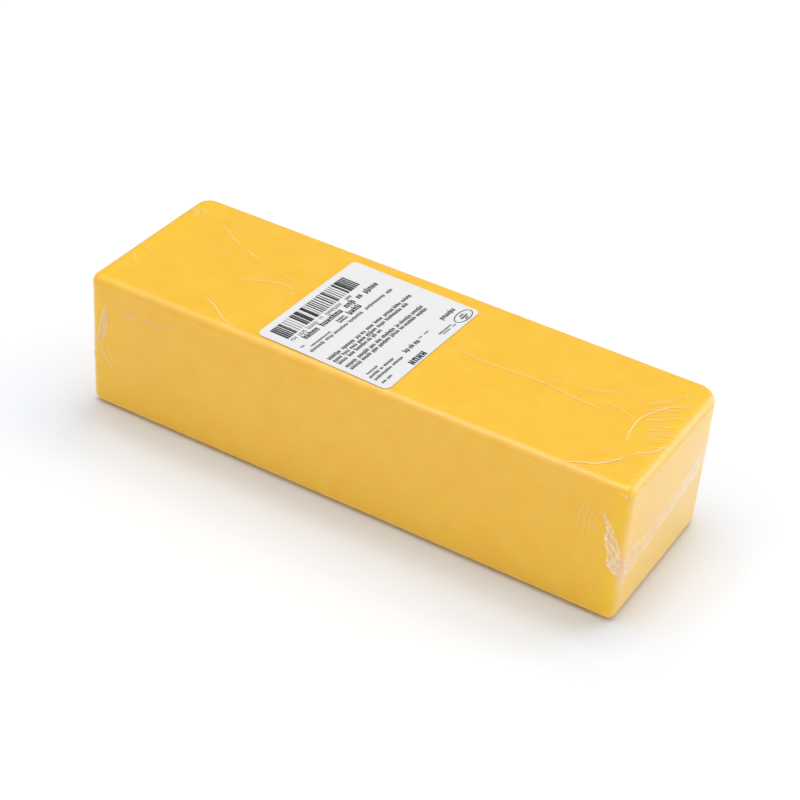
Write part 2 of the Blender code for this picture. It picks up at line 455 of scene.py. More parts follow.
@dataclass(frozen=True)
class CheeseFinish:
    """Semi-hard cheese, coloured right through, cut and pressed smooth.

    Fat and moisture let light in a few millimetres, so it looks waxy and its edges glow. Its
    colour wanders softly, as curd does, and is deeper where the film clings wet at the ends.

    Attributes:
        body: Its main colour.
        pale: Colour of its paler clouds.
        deep: Colour where it is wet.
        mottle: Size of the clouds.
        grain: Size of its fine relief.
        depth: How far light spreads in it.
    """

    body: str = "fabf27"
    pale: str = "fbc533"
    deep: str = "fec713"
    mottle: float = 11 * MM
    grain: float = 1.6 * MM
    depth: float = 2.2 * MM

    def make(self) -> bpy.types.Material:
        """Builds the material.

        Returns:
            The material, which reads Object coordinates and the point attribute "wet".
        """
        material, tree = new_material("semi_hard_cheese")
        place = add_node(tree, "ShaderNodeTexCoord").outputs["Object"]
        cloud = add_node(
            tree, "ShaderNodeTexNoise", None,
            {"Vector": place, "Scale": 1 / self.mottle, "Detail": 3.0, "Roughness": 0.55},
        )
        fine = add_node(
            tree, "ShaderNodeTexNoise", None,
            {"Vector": place, "Scale": 1 / self.grain, "Detail": 2.0, "Roughness": 0.6},
        )
        share = add_node(
            tree, "ShaderNodeMapRange", None,
            {"Value": cloud.outputs["Fac"], "From Min": 0.35, "From Max": 0.65},
        )
        base = add_node(
            tree, "ShaderNodeMix", {"data_type": "RGBA"},
            {SHARE: share.outputs["Result"], FIRST: srgb(self.body), SECOND: srgb(self.pale)},
        )
        wet = add_node(tree, "ShaderNodeAttribute", {"attribute_name": "wet"})
        colour = add_node(
            tree, "ShaderNodeMix", {"data_type": "RGBA"},
            {SHARE: wet.outputs["Fac"], FIRST: base.outputs[MIXED], SECOND: srgb(self.deep)},
        )
        bump = add_node(
            tree, "ShaderNodeBump", None,
            {"Height": fine.outputs["Fac"], "Strength": 0.06, "Distance": 0.3 * MM},
        )
        shader = add_node(
            tree, "ShaderNodeBsdfPrincipled", {"subsurface_method": "RANDOM_WALK"},
            {
                "Base Color": colour.outputs[MIXED],
                "Roughness": 0.5,
                "IOR": 1.45,
                "Specular IOR Level": 0.2,
                "Subsurface Weight": 0.35,
                "Subsurface Radius": (1.0, 0.55, 0.18),
                "Subsurface Scale": self.depth,
                "Normal": bump.outputs["Normal"],
            },
        )
        add_node(tree, "ShaderNodeOutputMaterial", None, {"Surface": shader.outputs[0]})
        return material


@dataclass(frozen=True)
class FilmFinish:
    """Clear shrink film, a multilayer of polythene, drawn tight by heat.

    It is almost invisible where it clings. It mirrors light softly, more at a grazing angle, and
    turns milky where it is doubled, creased or welded. Its milky share also carries painted
    highlights and glints over edges, crease lines, seals and ears.

    Attributes:
        name: The material's name.
        milk_and_sheen: Colour of the faintly milky parts, and of the painted sheen.
        dense_and_glint: Colour of the wholly milky parts: the solid pale crease lines, which are
            partly a painted glint, and the painted glints on seals and ears.
        glow: Share of the milky parts' light that comes through from behind.
        roughness: Roughness of its mirror.
        ior: Index of refraction.
        most: The most it mirrors. Its fine ripples keep all of it from ever lying edge on.
        ripple: Size of the ripples in the film.
        ripple_height: Height of the ripples.
    """

    name: str = "clear_shrink_film"
    milk_and_sheen: str = "fff8f0"
    dense_and_glint: str = "fff8f0"
    glow: float = 0.1
    roughness: float = 0.26
    ior: float = 1.49
    most: float = 0.3
    ripple: float = 5 * MM
    ripple_height: float = 0.05 * MM

    def make(self) -> bpy.types.Material:
        """Builds the material.

        Returns:
            The material, which reads Object coordinates and the point attribute "milk_and_sheen":
            the share of the film that is milky there, or that carries a painted highlight or glint.
        """
        material, tree = new_material(self.name)
        place = add_node(tree, "ShaderNodeTexCoord").outputs["Object"]
        waves = add_node(
            tree, "ShaderNodeTexNoise", None,
            {"Vector": place, "Scale": 1 / self.ripple, "Detail": 2.0, "Distortion": 0.6},
        )
        bump = add_node(
            tree, "ShaderNodeBump", None,
            {"Height": waves.outputs["Fac"], "Strength": 1.0, "Distance": self.ripple_height},
        )
        normal = bump.outputs["Normal"]
        clear = add_node(tree, "ShaderNodeBsdfTransparent")
        milk_and_sheen = add_node(tree, "ShaderNodeAttribute", {"attribute_name": "milk_and_sheen"})
        tone = add_node(
            tree, "ShaderNodeMix", {"data_type": "RGBA"},
            {SHARE: milk_and_sheen.outputs["Fac"], FIRST: srgb(self.milk_and_sheen), SECOND: srgb(self.dense_and_glint)},
        ).outputs[MIXED]
        cloudy = add_node(tree, "ShaderNodeBsdfDiffuse", None, {"Color": tone, "Normal": normal})
        glowing = add_node(
            tree, "ShaderNodeBsdfTranslucent", None, {"Color": tone, "Normal": normal}
        )
        milky = add_node(
            tree, "ShaderNodeMixShader", None,
            {0: self.glow, 1: cloudy.outputs[0], 2: glowing.outputs[0]},
        )
        body = add_node(
            tree, "ShaderNodeMixShader", None,
            {0: milk_and_sheen.outputs["Fac"], 1: clear.outputs[0], 2: milky.outputs[0]},
        )
        mirror = add_node(
            tree, "ShaderNodeBsdfAnisotropic", None,
            {"Color": srgb("ffffff"), "Roughness": self.roughness, "Normal": normal},
        )
        fresnel = add_node(tree, "ShaderNodeFresnel", None, {"IOR": self.ior, "Normal": normal})
        inside = add_node(tree, "ShaderNodeNewGeometry").outputs["Backfacing"]
        outside = add_node(tree, "ShaderNodeMath", {"operation": "SUBTRACT"}, {0: 1.0, 1: inside})
        capped = add_node(
            tree, "ShaderNodeMath", {"operation": "MINIMUM"}, {0: fresnel.outputs[0], 1: self.most}
        )
        share = add_node(
            tree, "ShaderNodeMath", {"operation": "MULTIPLY"},
            {0: capped.outputs[0], 1: outside.outputs[0]},
        )
        surface = add_node(
            tree, "ShaderNodeMixShader", None,
            {0: share.outputs[0], 1: body.outputs[0], 2: mirror.outputs[0]},
        )
        add_node(tree, "ShaderNodeOutputMaterial", None, {"Surface": surface.outputs[0]})
        return material


@dataclass(frozen=True)
class PaperFinish:
    """Coated thermal label paper: smooth, faintly fibrous, not quite white.

    Attributes:
        sheet: Its colour.
        shade: Colour of its denser fibres.
        fibre: Size of the fibres' clumps.
    """

    sheet: str = "e9e9e9"
    shade: str = "e1e1e2"
    fibre: float = 0.9 * MM

    def make(self) -> bpy.types.Material:
        """Builds the material.

        Returns:
            The material, which reads Object coordinates.
        """
        material, tree = new_material("thermal_label_paper")
        place = add_node(tree, "ShaderNodeTexCoord").outputs["Object"]
        fibres = add_node(
            tree, "ShaderNodeTexNoise", None,
            {"Vector": place, "Scale": 1 / self.fibre, "Detail": 4.0, "Roughness": 0.7},
        )
        colour = add_node(
            tree, "ShaderNodeMix", {"data_type": "RGBA"},
            {SHARE: fibres.outputs["Fac"], FIRST: srgb(self.sheet), SECOND: srgb(self.shade)},
        )
        bump = add_node(
            tree, "ShaderNodeBump", None,
            {"Height": fibres.outputs["Fac"], "Strength": 0.15, "Distance": 0.05 * MM},
        )
        shader = add_node(
            tree, "ShaderNodeBsdfPrincipled", None,
            {
                "Base Color": colour.outputs[MIXED],
                "Roughness": 0.55,
                "Specular IOR Level": 0.35,
                "Normal": bump.outputs["Normal"],
            },
        )
        add_node(tree, "ShaderNodeOutputMaterial", None, {"Surface": shader.outputs[0]})
        return material


@dataclass(frozen=True)
class InkFinish:
    """Thermal print: the coating turned near black by heat, greyer where the head ran cool.

    Attributes:
        dark: Its darkest colour.
        cool: Colour where the head ran cool.
        patch: Size of its uneven patches.
    """

    dark: str = "18181b"
    cool: str = "8b8b90"
    patch: float = 6 * MM

    def make(self) -> bpy.types.Material:
        """Builds the material.

        Returns:
            The material, which reads Object coordinates and the point attribute "tone": how grey
            the print is there.
        """
        material, tree = new_material("thermal_print")
        place = add_node(tree, "ShaderNodeTexCoord").outputs["Object"]
        cloud = add_node(
            tree, "ShaderNodeTexNoise", None, {"Vector": place, "Scale": 1 / self.patch}
        )
        tone = add_node(tree, "ShaderNodeAttribute", {"attribute_name": "tone"})
        uneven = add_node(
            tree, "ShaderNodeMath", {"operation": "MULTIPLY_ADD", "use_clamp": True},
            {0: cloud.outputs["Fac"], 1: 0.2, 2: tone.outputs["Fac"]},
        )
        colour = add_node(
            tree, "ShaderNodeMix", {"data_type": "RGBA"},
            {SHARE: uneven.outputs[0], FIRST: srgb(self.dark), SECOND: srgb(self.cool)},
        )
        shader = add_node(
            tree, "ShaderNodeBsdfPrincipled", None,
            {"Base Color": colour.outputs[MIXED], "Roughness": 0.6, "Specular IOR Level": 0.3},
        )
        add_node(tree, "ShaderNodeOutputMaterial", None, {"Surface": shader.outputs[0]})
        return material


@dataclass(frozen=True)
class FloorFinish:
    """Matt white studio card, a touch cooler round its middle, with a very faint grain.

    Attributes:
        far: Its colour far out.
        near: Its colour close to the middle, a painted shade, darker and cooler, round the loaf.
        grain_shade: How much of the grain's darker tone is mixed in at most.
        grain: Size of the grain.
        middle: Half sizes of the block in the middle that counts as close.
        reach: Range of distances from that block over which the colour turns.
    """

    far: str = "fcfcfd"
    near: str = "eef3fa"
    grain_shade: float = 0.02
    grain: float = 1.2 * MM
    middle: tuple[float, float, float] = (0.141, 0.047, 0.1)
    reach: tuple[float, float] = (0.030, 0.085)

    def make(self) -> bpy.types.Material:
        """Builds the material.

        How far a place is from the middle block is the length of what its distances from the
        block's centre have beyond the block's half sizes. Close to the block the card is painted a
        touch darker and cooler, as painted shade where the loaf's shadow falls.

        Returns:
            The material, which reads Object coordinates.
        """
        material, tree = new_material("studio_card_painted_shade")
        place = add_node(tree, "ShaderNodeTexCoord").outputs["Object"]
        grain = add_node(
            tree, "ShaderNodeTexNoise", None, {"Vector": place, "Scale": 1 / self.grain}
        )
        offset = place
        for operation, value in (
            ("ABSOLUTE", None),
            ("SUBTRACT", self.middle),
            ("MAXIMUM", (0.0, 0.0, 0.0)),
            ("LENGTH", None),
        ):
            inputs = {0: offset} if value is None else {0: offset, 1: value}
            step = add_node(tree, "ShaderNodeVectorMath", {"operation": operation}, inputs)
            offset = step.outputs["Value" if operation == "LENGTH" else "Vector"]
        away = add_node(
            tree, "ShaderNodeMapRange", None,
            {"Value": offset, "From Min": self.reach[0], "From Max": self.reach[1]},
        )
        # Painted shade: the card is darker and cooler close to the loaf.
        card = add_node(
            tree, "ShaderNodeMix", {"data_type": "RGBA"},
            {SHARE: away.outputs["Result"], FIRST: srgb(self.near), SECOND: srgb(self.far)},
        )
        share = add_node(
            tree, "ShaderNodeMath", {"operation": "MULTIPLY"},
            {0: grain.outputs["Fac"], 1: self.grain_shade},
        )
        colour = add_node(
            tree, "ShaderNodeMix", {"data_type": "RGBA"},
            {SHARE: share.outputs[0], FIRST: card.outputs[MIXED], SECOND: srgb("000000")},
        )
        shader = add_node(
            tree, "ShaderNodeBsdfPrincipled", None,
            {"Base Color": colour.outputs[MIXED], "Roughness": 0.9, "Specular IOR Level": 0.0},
        )
        add_node(tree, "ShaderNodeOutputMaterial", None, {"Surface": shader.outputs[0]})
        return material


# --- cheese and film ------------------------------------------------------------------------


# Angles at which grid lines meet a rounding, outermost first.
ROUNDING_STEPS = np.radians(np.arange(39.0, -1.0, -6.5))


def stations(half: float, edge: float, zones: Sequence[tuple[float, float]]) -> Array:
    """Grid positions across a side, close at its ends and coarser towards its middle.

    Args:
        half: Half the side.
        edge: Radius of the widest rounding at its ends.
        zones: Distances in from the end, each with the pitch used up to there, outermost first.

    Returns:
        Rising positions from -half to half. In the rounding they stand at equal steps of angle
        where a ring drawn at 45 degrees meets them: edge times 1 - tan(angle).
    """
    insets = [np.array([0.0]), edge * (1 - np.tan(ROUNDING_STEPS))]
    reached = edge
    for reach, pitch in zones:
        count = max(1, round((min(reach, half) - reached) / pitch))
        insets.append(reached + (min(reach, half) - reached) * np.arange(1, count + 1) / count)
        reached = min(reach, half)
    inset = np.unique(np.round(np.concatenate(insets), SAME_DIGITS))
    return np.unique(np.round(np.concatenate([-half + inset, half - inset]), SAME_DIGITS))


@dataclass
class CheeseLoaf:
    """The cheese inside the film.

    Attributes:
        form: The loaf's form.
        film_gap: How far the cheese lies inside the form.
        pitch: Spacing of its grid along the middle.
        fine: Spacing of its grid near the ends, and across.
        wet_reach: How far in from the ends the film clings wet.
        pitches: Pitches of the wet streaks.
        slant: How much a place's x and y on the top count across the streaks.
        even: Wetness all over near the ends.
        streaky: How much the streaks add or take.
        patchy: How much the patches add or take.
        rim: Distances from the left end between which the wet rim of the top dies out.
        rim_patch: How many patches' worth of wetness that rim has.
        wander: How far a slow wave bends the streaks, in radians of their own waves.
        wander_waves: That slow wave, in radians per metre along X and across.
        patch_waves: The waves that make the patches, in radians per metre along X and across.
        strip: Width of the wet strip on the front, beside the right end.
    """

    form: LoafForm
    film_gap: float = 0.15 * MM
    pitch: float = 2.4 * MM
    fine: float = 1.0 * MM
    wet_reach: float = 30 * MM
    pitches: tuple[float, ...] = (6.7 * MM, 4.1 * MM, 2.9 * MM)
    slant: tuple[float, float] = (-0.45, 0.81)
    even: float = 0.40
    streaky: float = 0.75
    patchy: float = 0.30
    rim: tuple[float, float] = (4 * MM, 14 * MM)
    rim_patch: float = 1.8
    wander: float = 1.5
    wander_waves: tuple[float, float] = (130.0, 55.0)
    patch_waves: tuple[float, float] = (95.0, 130.0)
    strip: float = 9 * MM

    def wetness(self, points: Array) -> Array:
        """Where the film clings wet: streaks and patches near the ends, 0 to 1.

        The streaks are waves of three pitches across the pull of the film, which fans out towards
        the end. The patches are a product of slow waves. Both fade out over wet_reach.

        Args:
            points: Places on the loaf.

        Returns:
            One share for each point.
        """
        x, half = points[:, 0], self.form.half
        near = 1 - smoothstep(0.1, 1.0, (half[0] - np.abs(x)) / self.wet_reach)
        upward = points[:, 2] > self.form.size[2] * 0.97
        side = np.where(upward, points[:, 1], points[:, 2])
        pull = self.slant[1] * side + self.slant[0] * np.where(upward, x, 0.0)
        bend_x, bend_side = self.wander_waves
        wander = self.wander * np.sin(x * bend_x + side * bend_side)
        streak = np.zeros(len(points))
        for k, pitch in enumerate(self.pitches):
            streak += np.sin(2 * math.pi * pull / pitch + wander + 2 * k) / len(self.pitches)
        patch_x, patch_side = self.patch_waves
        patch = np.sin(side * patch_side + 0.8) * np.sin(x * patch_x + 0.4)
        patch += self.rim_patch * upward * (1 - smoothstep(*self.rim, x + half[0]))
        strip = smoothstep(-self.strip, -0.55 * self.strip, x - half[0])
        strip *= (points[:, 1] < -0.9 * half[1]) * (1.0 - upward)
        wet = self.even + self.streaky * streak + self.patchy * patch
        return np.clip(near * wet + strip, 0, 1)

    def build(self, finish: CheeseFinish) -> bpy.types.Object:
        """Makes the cheese: a grid on the box, drawn onto the form just inside the film.

        Args:
            finish: How cheese looks.

        Returns:
            The piece.
        """
        half = self.form.half
        edge = max(self.form.upright_edges)
        zones = [(TO_MIDDLE, 1.3 * self.fine)]
        points, faces = box_grid(
            [
                stations(half[0], edge, [(self.wet_reach, self.fine), (TO_MIDDLE, self.pitch)]),
                stations(half[1], edge, zones),
                stations(half[2], self.form.bottom_edge, zones) + half[2],
            ]
        )
        placed, _ = self.form.place(points, -self.film_gap)
        placed[:, 2] = np.maximum(placed[:, 2], self.film_gap)
        return make_piece(
            "cheese", placed, [faces], finish.make(), {"wet": self.wetness(placed)}
        )


@dataclass(frozen=True)
class Pleat:
    """A rib of film that runs in from an edge and dies out.

    Attributes:
        face: The face that it lies on.
        start: Where it starts, in millimetres on the face.
        way: Its direction and length, in millimetres.
        bend: How far its middle bows sideways, in millimetres.
        width: Its width, in millimetres.
    """

    face: Face
    start: tuple[float, float]
    way: tuple[float, float]
    bend: float
    width: float

    def path(self, count: int) -> Array:
        """Points along the rib: a straight run with a parabola of height bend across it.

        Args:
            count: How many points to return.

        Returns:
            The points on the face, one row each, in metres.
        """
        t = np.linspace(0, 1, count)[:, None]
        run = np.array(self.way)
        across = np.array((-run[1], run[0])) / np.hypot(*run)
        return (np.array(self.start) + run * t + across * self.bend * 4 * t * (1 - t)) * MM


# The seals' centre line from the front to the back: place across the end and height, in mm.
SEAL_LINE = (
    (-48.5, 28.8), (-42.0, 29.5), (-35.0, 30.4), (-22.0, 31.9), (-12.0, 33.7),
    (6.0, 36.9), (22.5, 39.6), (33.0, 42.4), (44.0, 45.0),
)  # fmt: skip


@dataclass
class FilmSkin:
    """The clear film: a closed skin round the cheese, with soft gathers near both ends.

    Attributes:
        form: The loaf's form.
        fine: Grid pitch near the ends.
        coarse: Grid pitch along the middle.
        fine_reach: How far in from the ends the fine grid runs.
        gather_height: Height of the gathers at the ends.
        gather_reach: How far in from the ends they run.
        sag: Height of the slow waves all over.
        end_haze_and_sheen: How pale it is above the seals: partly milky film, partly a painted
            reflection.
        edge_painted_sheen: A painted highlight over the edges round the top, laid on as milkiness.
        corner_haze_and_sheen: How pale it is down the ends beside their front corners: partly milky
            film, partly a painted highlight.
        corner_reach: Distances from the front between which that dies out.
        pitches: Pitches of the gathers.
        wander: How far a slow wave bends the gathers, in radians of their own waves.
        wander_waves: That slow wave, in radians per metre: along X for the widest gathers, more for
            each next pitch, and around.
        slow_waves: The slow waves all over, in radians per metre along X, up and around.
        cloud_waves: The wave that thins the haze, in radians per metre along X, Y and Z.
    """

    form: LoafForm
    fine: float = 0.95 * MM
    coarse: float = 2.6 * MM
    fine_reach: float = 30 * MM
    gather_height: float = 0.10 * MM
    gather_reach: float = 22 * MM
    sag: float = 0.03 * MM
    end_haze_and_sheen: float = 0.08
    edge_painted_sheen: float = 0.07
    corner_haze_and_sheen: float = 0.2
    corner_reach: tuple[float, float] = (2 * MM, 8 * MM)
    pitches: tuple[float, ...] = (7.9 * MM, 4.7 * MM, 3.1 * MM)
    wander: float = 1.1
    wander_waves: tuple[float, float, float] = (60.0, 25.0, 40.0)
    slow_waves: tuple[float, float, float] = (210.0, 90.0, 250.0)
    cloud_waves: tuple[float, float, float] = (90.0, 170.0, 90.0)

    def relief(self, points: Array, normals: Array) -> Array:
        """Height of the film over the loaf.

        Near the ends it is a sum of three waves across the film, each pitch with its own wander,
        squared so that crests are narrow and valleys wide. All over it is a product of slow waves.

        Args:
            points: Places on the smooth loaf.
            normals: Normals there.

        Returns:
            One height for each point.
        """
        x = points[:, 0]
        upward = np.abs(normals[:, 2]) > np.abs(normals[:, 1])
        around = np.where(upward, points[:, 1], points[:, 2])
        fade = 1 - smoothstep(0.05, 1.0, (self.form.half[0] - np.abs(x)) / self.gather_reach)
        widest, more, bend = self.wander_waves
        ribs = np.zeros(len(points))
        for k, pitch in enumerate(self.pitches):
            wander = self.wander * np.sin(x * (widest + more * k) + around * bend + k)
            crest = 0.5 + 0.5 * np.sin(2 * math.pi * around / pitch + wander)
            ribs += crest**2 / (k + 1.5)
        on_sides = 1 - normals[:, 0] ** 2
        slow_x, slow_up, slow_around = self.slow_waves
        waves = np.sin(x * slow_x + points[:, 2] * slow_up) * np.sin(around * slow_around + 2.0)
        return self.gather_height * ribs * fade * on_sides + self.sag * waves

    def build(self, finish: FilmFinish) -> bpy.types.Object:
        """Makes the skin.

        Args:
            finish: How the film looks.

        Returns:
            The piece.
        """
        half = self.form.half
        edge = max(self.form.upright_edges)
        zones = [(TO_MIDDLE, 1.4 * self.fine)]
        points, faces = box_grid(
            [
                stations(half[0], edge, [(self.fine_reach, self.fine), (TO_MIDDLE, self.coarse)]),
                stations(half[1], edge, zones),
                stations(half[2], self.form.bottom_edge, zones) + half[2],
            ]
        )
        smooth, normals = self.form.place(points)
        placed, normals = self.form.place(points, self.relief(smooth, normals))
        milk_and_sheen = self.haze(placed, normals)
        return make_piece("film", placed, [faces], finish.make(), {"milk_and_sheen": milk_and_sheen})

    def haze(self, points: Array, normals: Array) -> Array:
        """How milky the film is, 0 to 1.

        Over the edges round the top, as 4 nz^2 (ny^2 + 2 nx^2), it carries a painted highlight,
        laid on as faint milkiness where it is drawn tight. Above the seals it is faint milkiness
        and a painted reflection, and down the ends beside their front corners milkiness and a
        painted highlight. A slow cloud takes away up to two fifths of it.

        Args:
            points: Places on the film.
            normals: Normals there.

        Returns:
            One share for each point.
        """
        seal = np.interp(points[:, 1] / MM, *np.array(SEAL_LINE).T) * MM
        endwards = np.abs(normals[:, 0])
        above = smoothstep(0.75, 1.0, endwards) * smoothstep(-2 * MM, 3 * MM, points[:, 2] - seal)
        up = np.clip(normals[:, 2], 0, 1) ** 2
        wander = 1.3 * MM * np.sin(points[:, 2] * 230)
        from_front = points[:, 1] + self.form.half[1] + wander
        corner = smoothstep(0.5, 0.95, endwards) * (1 - smoothstep(*self.corner_reach, from_front))
        cloud = 0.8 + 0.2 * np.sin(points @ np.array(self.cloud_waves))
        # Painted light: the edge share is a painted highlight, and the shares above the seals and
        # down the corners are partly a painted reflection and a painted highlight.
        edge = 4 * up * (normals[:, 1] ** 2 + 2 * normals[:, 0] ** 2)
        parts = (self.end_haze_and_sheen * above, self.edge_painted_sheen * edge, self.corner_haze_and_sheen * corner)
        return cloud * np.maximum.reduce(parts)


@dataclass(frozen=True)
class Crease:
    """A sharp crease that stands up from the film, or a soft milky patch of it.

    Attributes:
        face: The face that it lies on.
        knots: Its points, in millimetres on the face.
        width: Its width in millimetres at its widest.
        milk_and_sheen: How pale it is: 1 for the solid pale line of a sharp crease, which is partly
        milky film and partly a painted glint, and less for a milky patch.
    """

    face: Face
    knots: tuple[tuple[float, float], ...]
    width: float
    milk_and_sheen: float = 1.0


LEFT_TOP_CREASES = (
    Crease(Face.TOP, ((-118.4, 27.8), (-109.0, 22.0), (-101.2, 17.4), (-97.2, 15.8)), 0.42),
    Crease(Face.TOP, ((-95.0, 13.0), (-92.3, 13.8), (-88.4, 12.3), (-84.1, 11.0)), 0.61),
    Crease(Face.TOP, ((-82.7, -10.3), (-72.5, -3.6), (-62.4, -0.3), (-55.5, -2.0)), 0.72),
    Crease(Face.TOP, ((-72.1, 6.7), (-64.0, 6.0), (-57.3, 4.7)), 0.35),
    Crease(Face.TOP, ((-61.8, -5.3), (-56.0, -4.6), (-51.5, -2.2)), 0.38),
    Crease(Face.TOP, ((-86.7, -30.7), (-80.2, -33.2), (-70.5, -39.6), (-62.0, -44.5)), 0.67),
    Crease(Face.TOP, ((-110.9, 25.4), (-110.1, 24.6)), 0.83),
    Crease(Face.TOP, ((-138.0, 32.0), (-134.5, 30.0), (-130.0, 25.5)), 3.2, 0.11),
    Crease(Face.TOP, ((-134.5, 34.5), (-131.5, 32.0), (-128.5, 30.5)), 2.0, 0.09),
    Crease(Face.TOP, ((-139.0, -20.0), (-138.6, -26.0), (-137.6, -33.0)), 1.8, 0.14),
    Crease(Face.TOP, ((-136.0, -19.0), (-133.0, -21.5), (-130.0, -25.0)), 0.52),
    Crease(Face.TOP, ((-86.2, 26.2), (-85.5, 25.3)), 0.5),
)
RIGHT_TOP_CREASES = (
    Crease(Face.TOP, ((26.5, 2.0), (43.0, 0.4), (58.8, 1.4), (72.2, 1.8), (85.9, 0.5)), 0.56),
    Crease(Face.TOP, ((72.2, 1.8), (85.9, 0.5), (96.7, -0.4), (104.0, -0.6)), 0.69),
    Crease(Face.TOP, ((75.1, 5.9), (79.0, 7.2), (83.0, 7.9)), 0.42),
    Crease(Face.TOP, ((87.0, 9.0), (95.3, 10.3), (101.5, 13.6), (106.1, 16.5)), 0.42),
    Crease(Face.TOP, ((106.1, 16.5), (107.5, 18.5), (105.0, 19.6)), 0.28),
    Crease(Face.TOP, ((100.5, 5.7), (109.5, 4.4), (119.4, 2.1)), 0.42),
    Crease(
        Face.TOP,
        ((123.5, -17.4), (121.3, -10.1), (120.3, -0.9), (121.2, 6.2), (127.1, 18.0), (136.5, 26.2)),
        0.9,
    ),
    Crease(Face.TOP, ((120.7, 15.6), (126.1, 23.8), (129.5, 30.1)), 0.46),
    Crease(Face.TOP, ((116.5, 12.0), (121.5, 18.6), (125.0, 24.5)), 0.31),
    Crease(Face.TOP, ((130.2, 29.6), (130.9, 30.3)), 1.26),
    Crease(Face.TOP, ((130.6, 30.0), (130.4, 35.0), (127.9, 39.0)), 0.5, 0.11),
    Crease(
        Face.TOP,
        ((106.0, -45.2), (111.5, -41.1), (119.0, -37.3), (124.6, -30.6), (128.5, -23.4)),
        0.99,
    ),
    Crease(
        Face.TOP,
        ((127.0, -26.0), (130.5, -20.4), (133.5, -17.7), (136.6, -13.1), (138.4, -6.4)),
        0.9,
    ),
    Crease(Face.TOP, ((131.2, -22.0), (134.6, -18.4), (137.6, -12.6)), 0.42),
    Crease(Face.TOP, ((112.7, -45.4), (116.9, -40.6), (120.2, -39.0)), 0.35),
    Crease(Face.TOP, ((130.8, -36.4), (134.8, -35.9), (137.8, -33.6)), 0.42),
    Crease(Face.TOP, ((133.2, -35.4), (135.5, -34.2), (137.3, -32.5)), 0.28),
)
LEFT_FRONT_CREASES = (
    Crease(Face.FRONT, ((-131.4, 58.4), (-134.5, 47.1), (-136.7, 35.4)), 0.63),
    Crease(Face.FRONT, ((-130.8, 55.9), (-130.0, 50.0), (-132.2, 42.1), (-134.6, 36.6)), 0.63),
    Crease(Face.FRONT, ((-131.0, 57.0), (-132.4, 48.5), (-134.9, 40.0)), 0.36),
    Crease(Face.FRONT, ((-134.5, 36.0), (-132.6, 30.0), (-129.2, 25.2), (-126.2, 21.3)), 1.0),
    Crease(Face.FRONT, ((-127.0, 62.4), (-123.5, 58.7), (-121.8, 56.1)), 0.52),
    Crease(Face.FRONT, ((-121.2, 63.0), (-116.6, 59.8), (-114.3, 59.1)), 0.52),
    Crease(Face.FRONT, ((-120.7, 54.9), (-117.0, 56.8), (-113.7, 57.6)), 0.52),
    Crease(Face.FRONT, ((-108.5, 60.2), (-103.7, 59.4), (-96.0, 59.7), (-88.7, 61.5)), 0.52),
    Crease(Face.FRONT, ((-123.0, 58.5), (-119.0, 57.5), (-115.0, 58.5)), 2.6, 0.09),
    Crease(Face.FRONT, ((-111.5, 57.6), (-108.5, 58.4), (-105.5, 59.6)), 2.8, 0.13),
    Crease(Face.FRONT, ((-29.5, 65.9), (-32.4, 58.2), (-32.0, 50.1)), 0.6, 0.08),
)
RIGHT_FRONT_CREASES = (
    # The first is a painted white glint, a short pale dab at the top of the right front corner.
    Crease(Face.FRONT, ((138.4, 70.8), (138.7, 69.6), (138.9, 68.4)), 0.9),
    Crease(Face.FRONT, ((121.5, 62.2), (119.2, 51.4), (119.0, 42.6)), 0.4),
    Crease(Face.FRONT, ((123.8, 59.5), (121.7, 50.9), (122.3, 39.3)), 0.4),
    Crease(Face.FRONT, ((125.9, 57.8), (124.1, 50.5), (123.9, 46.0)), 0.28),
    Crease(Face.FRONT, ((128.6, 57.0), (126.9, 52.5), (126.6, 48.5)), 0.28),
)


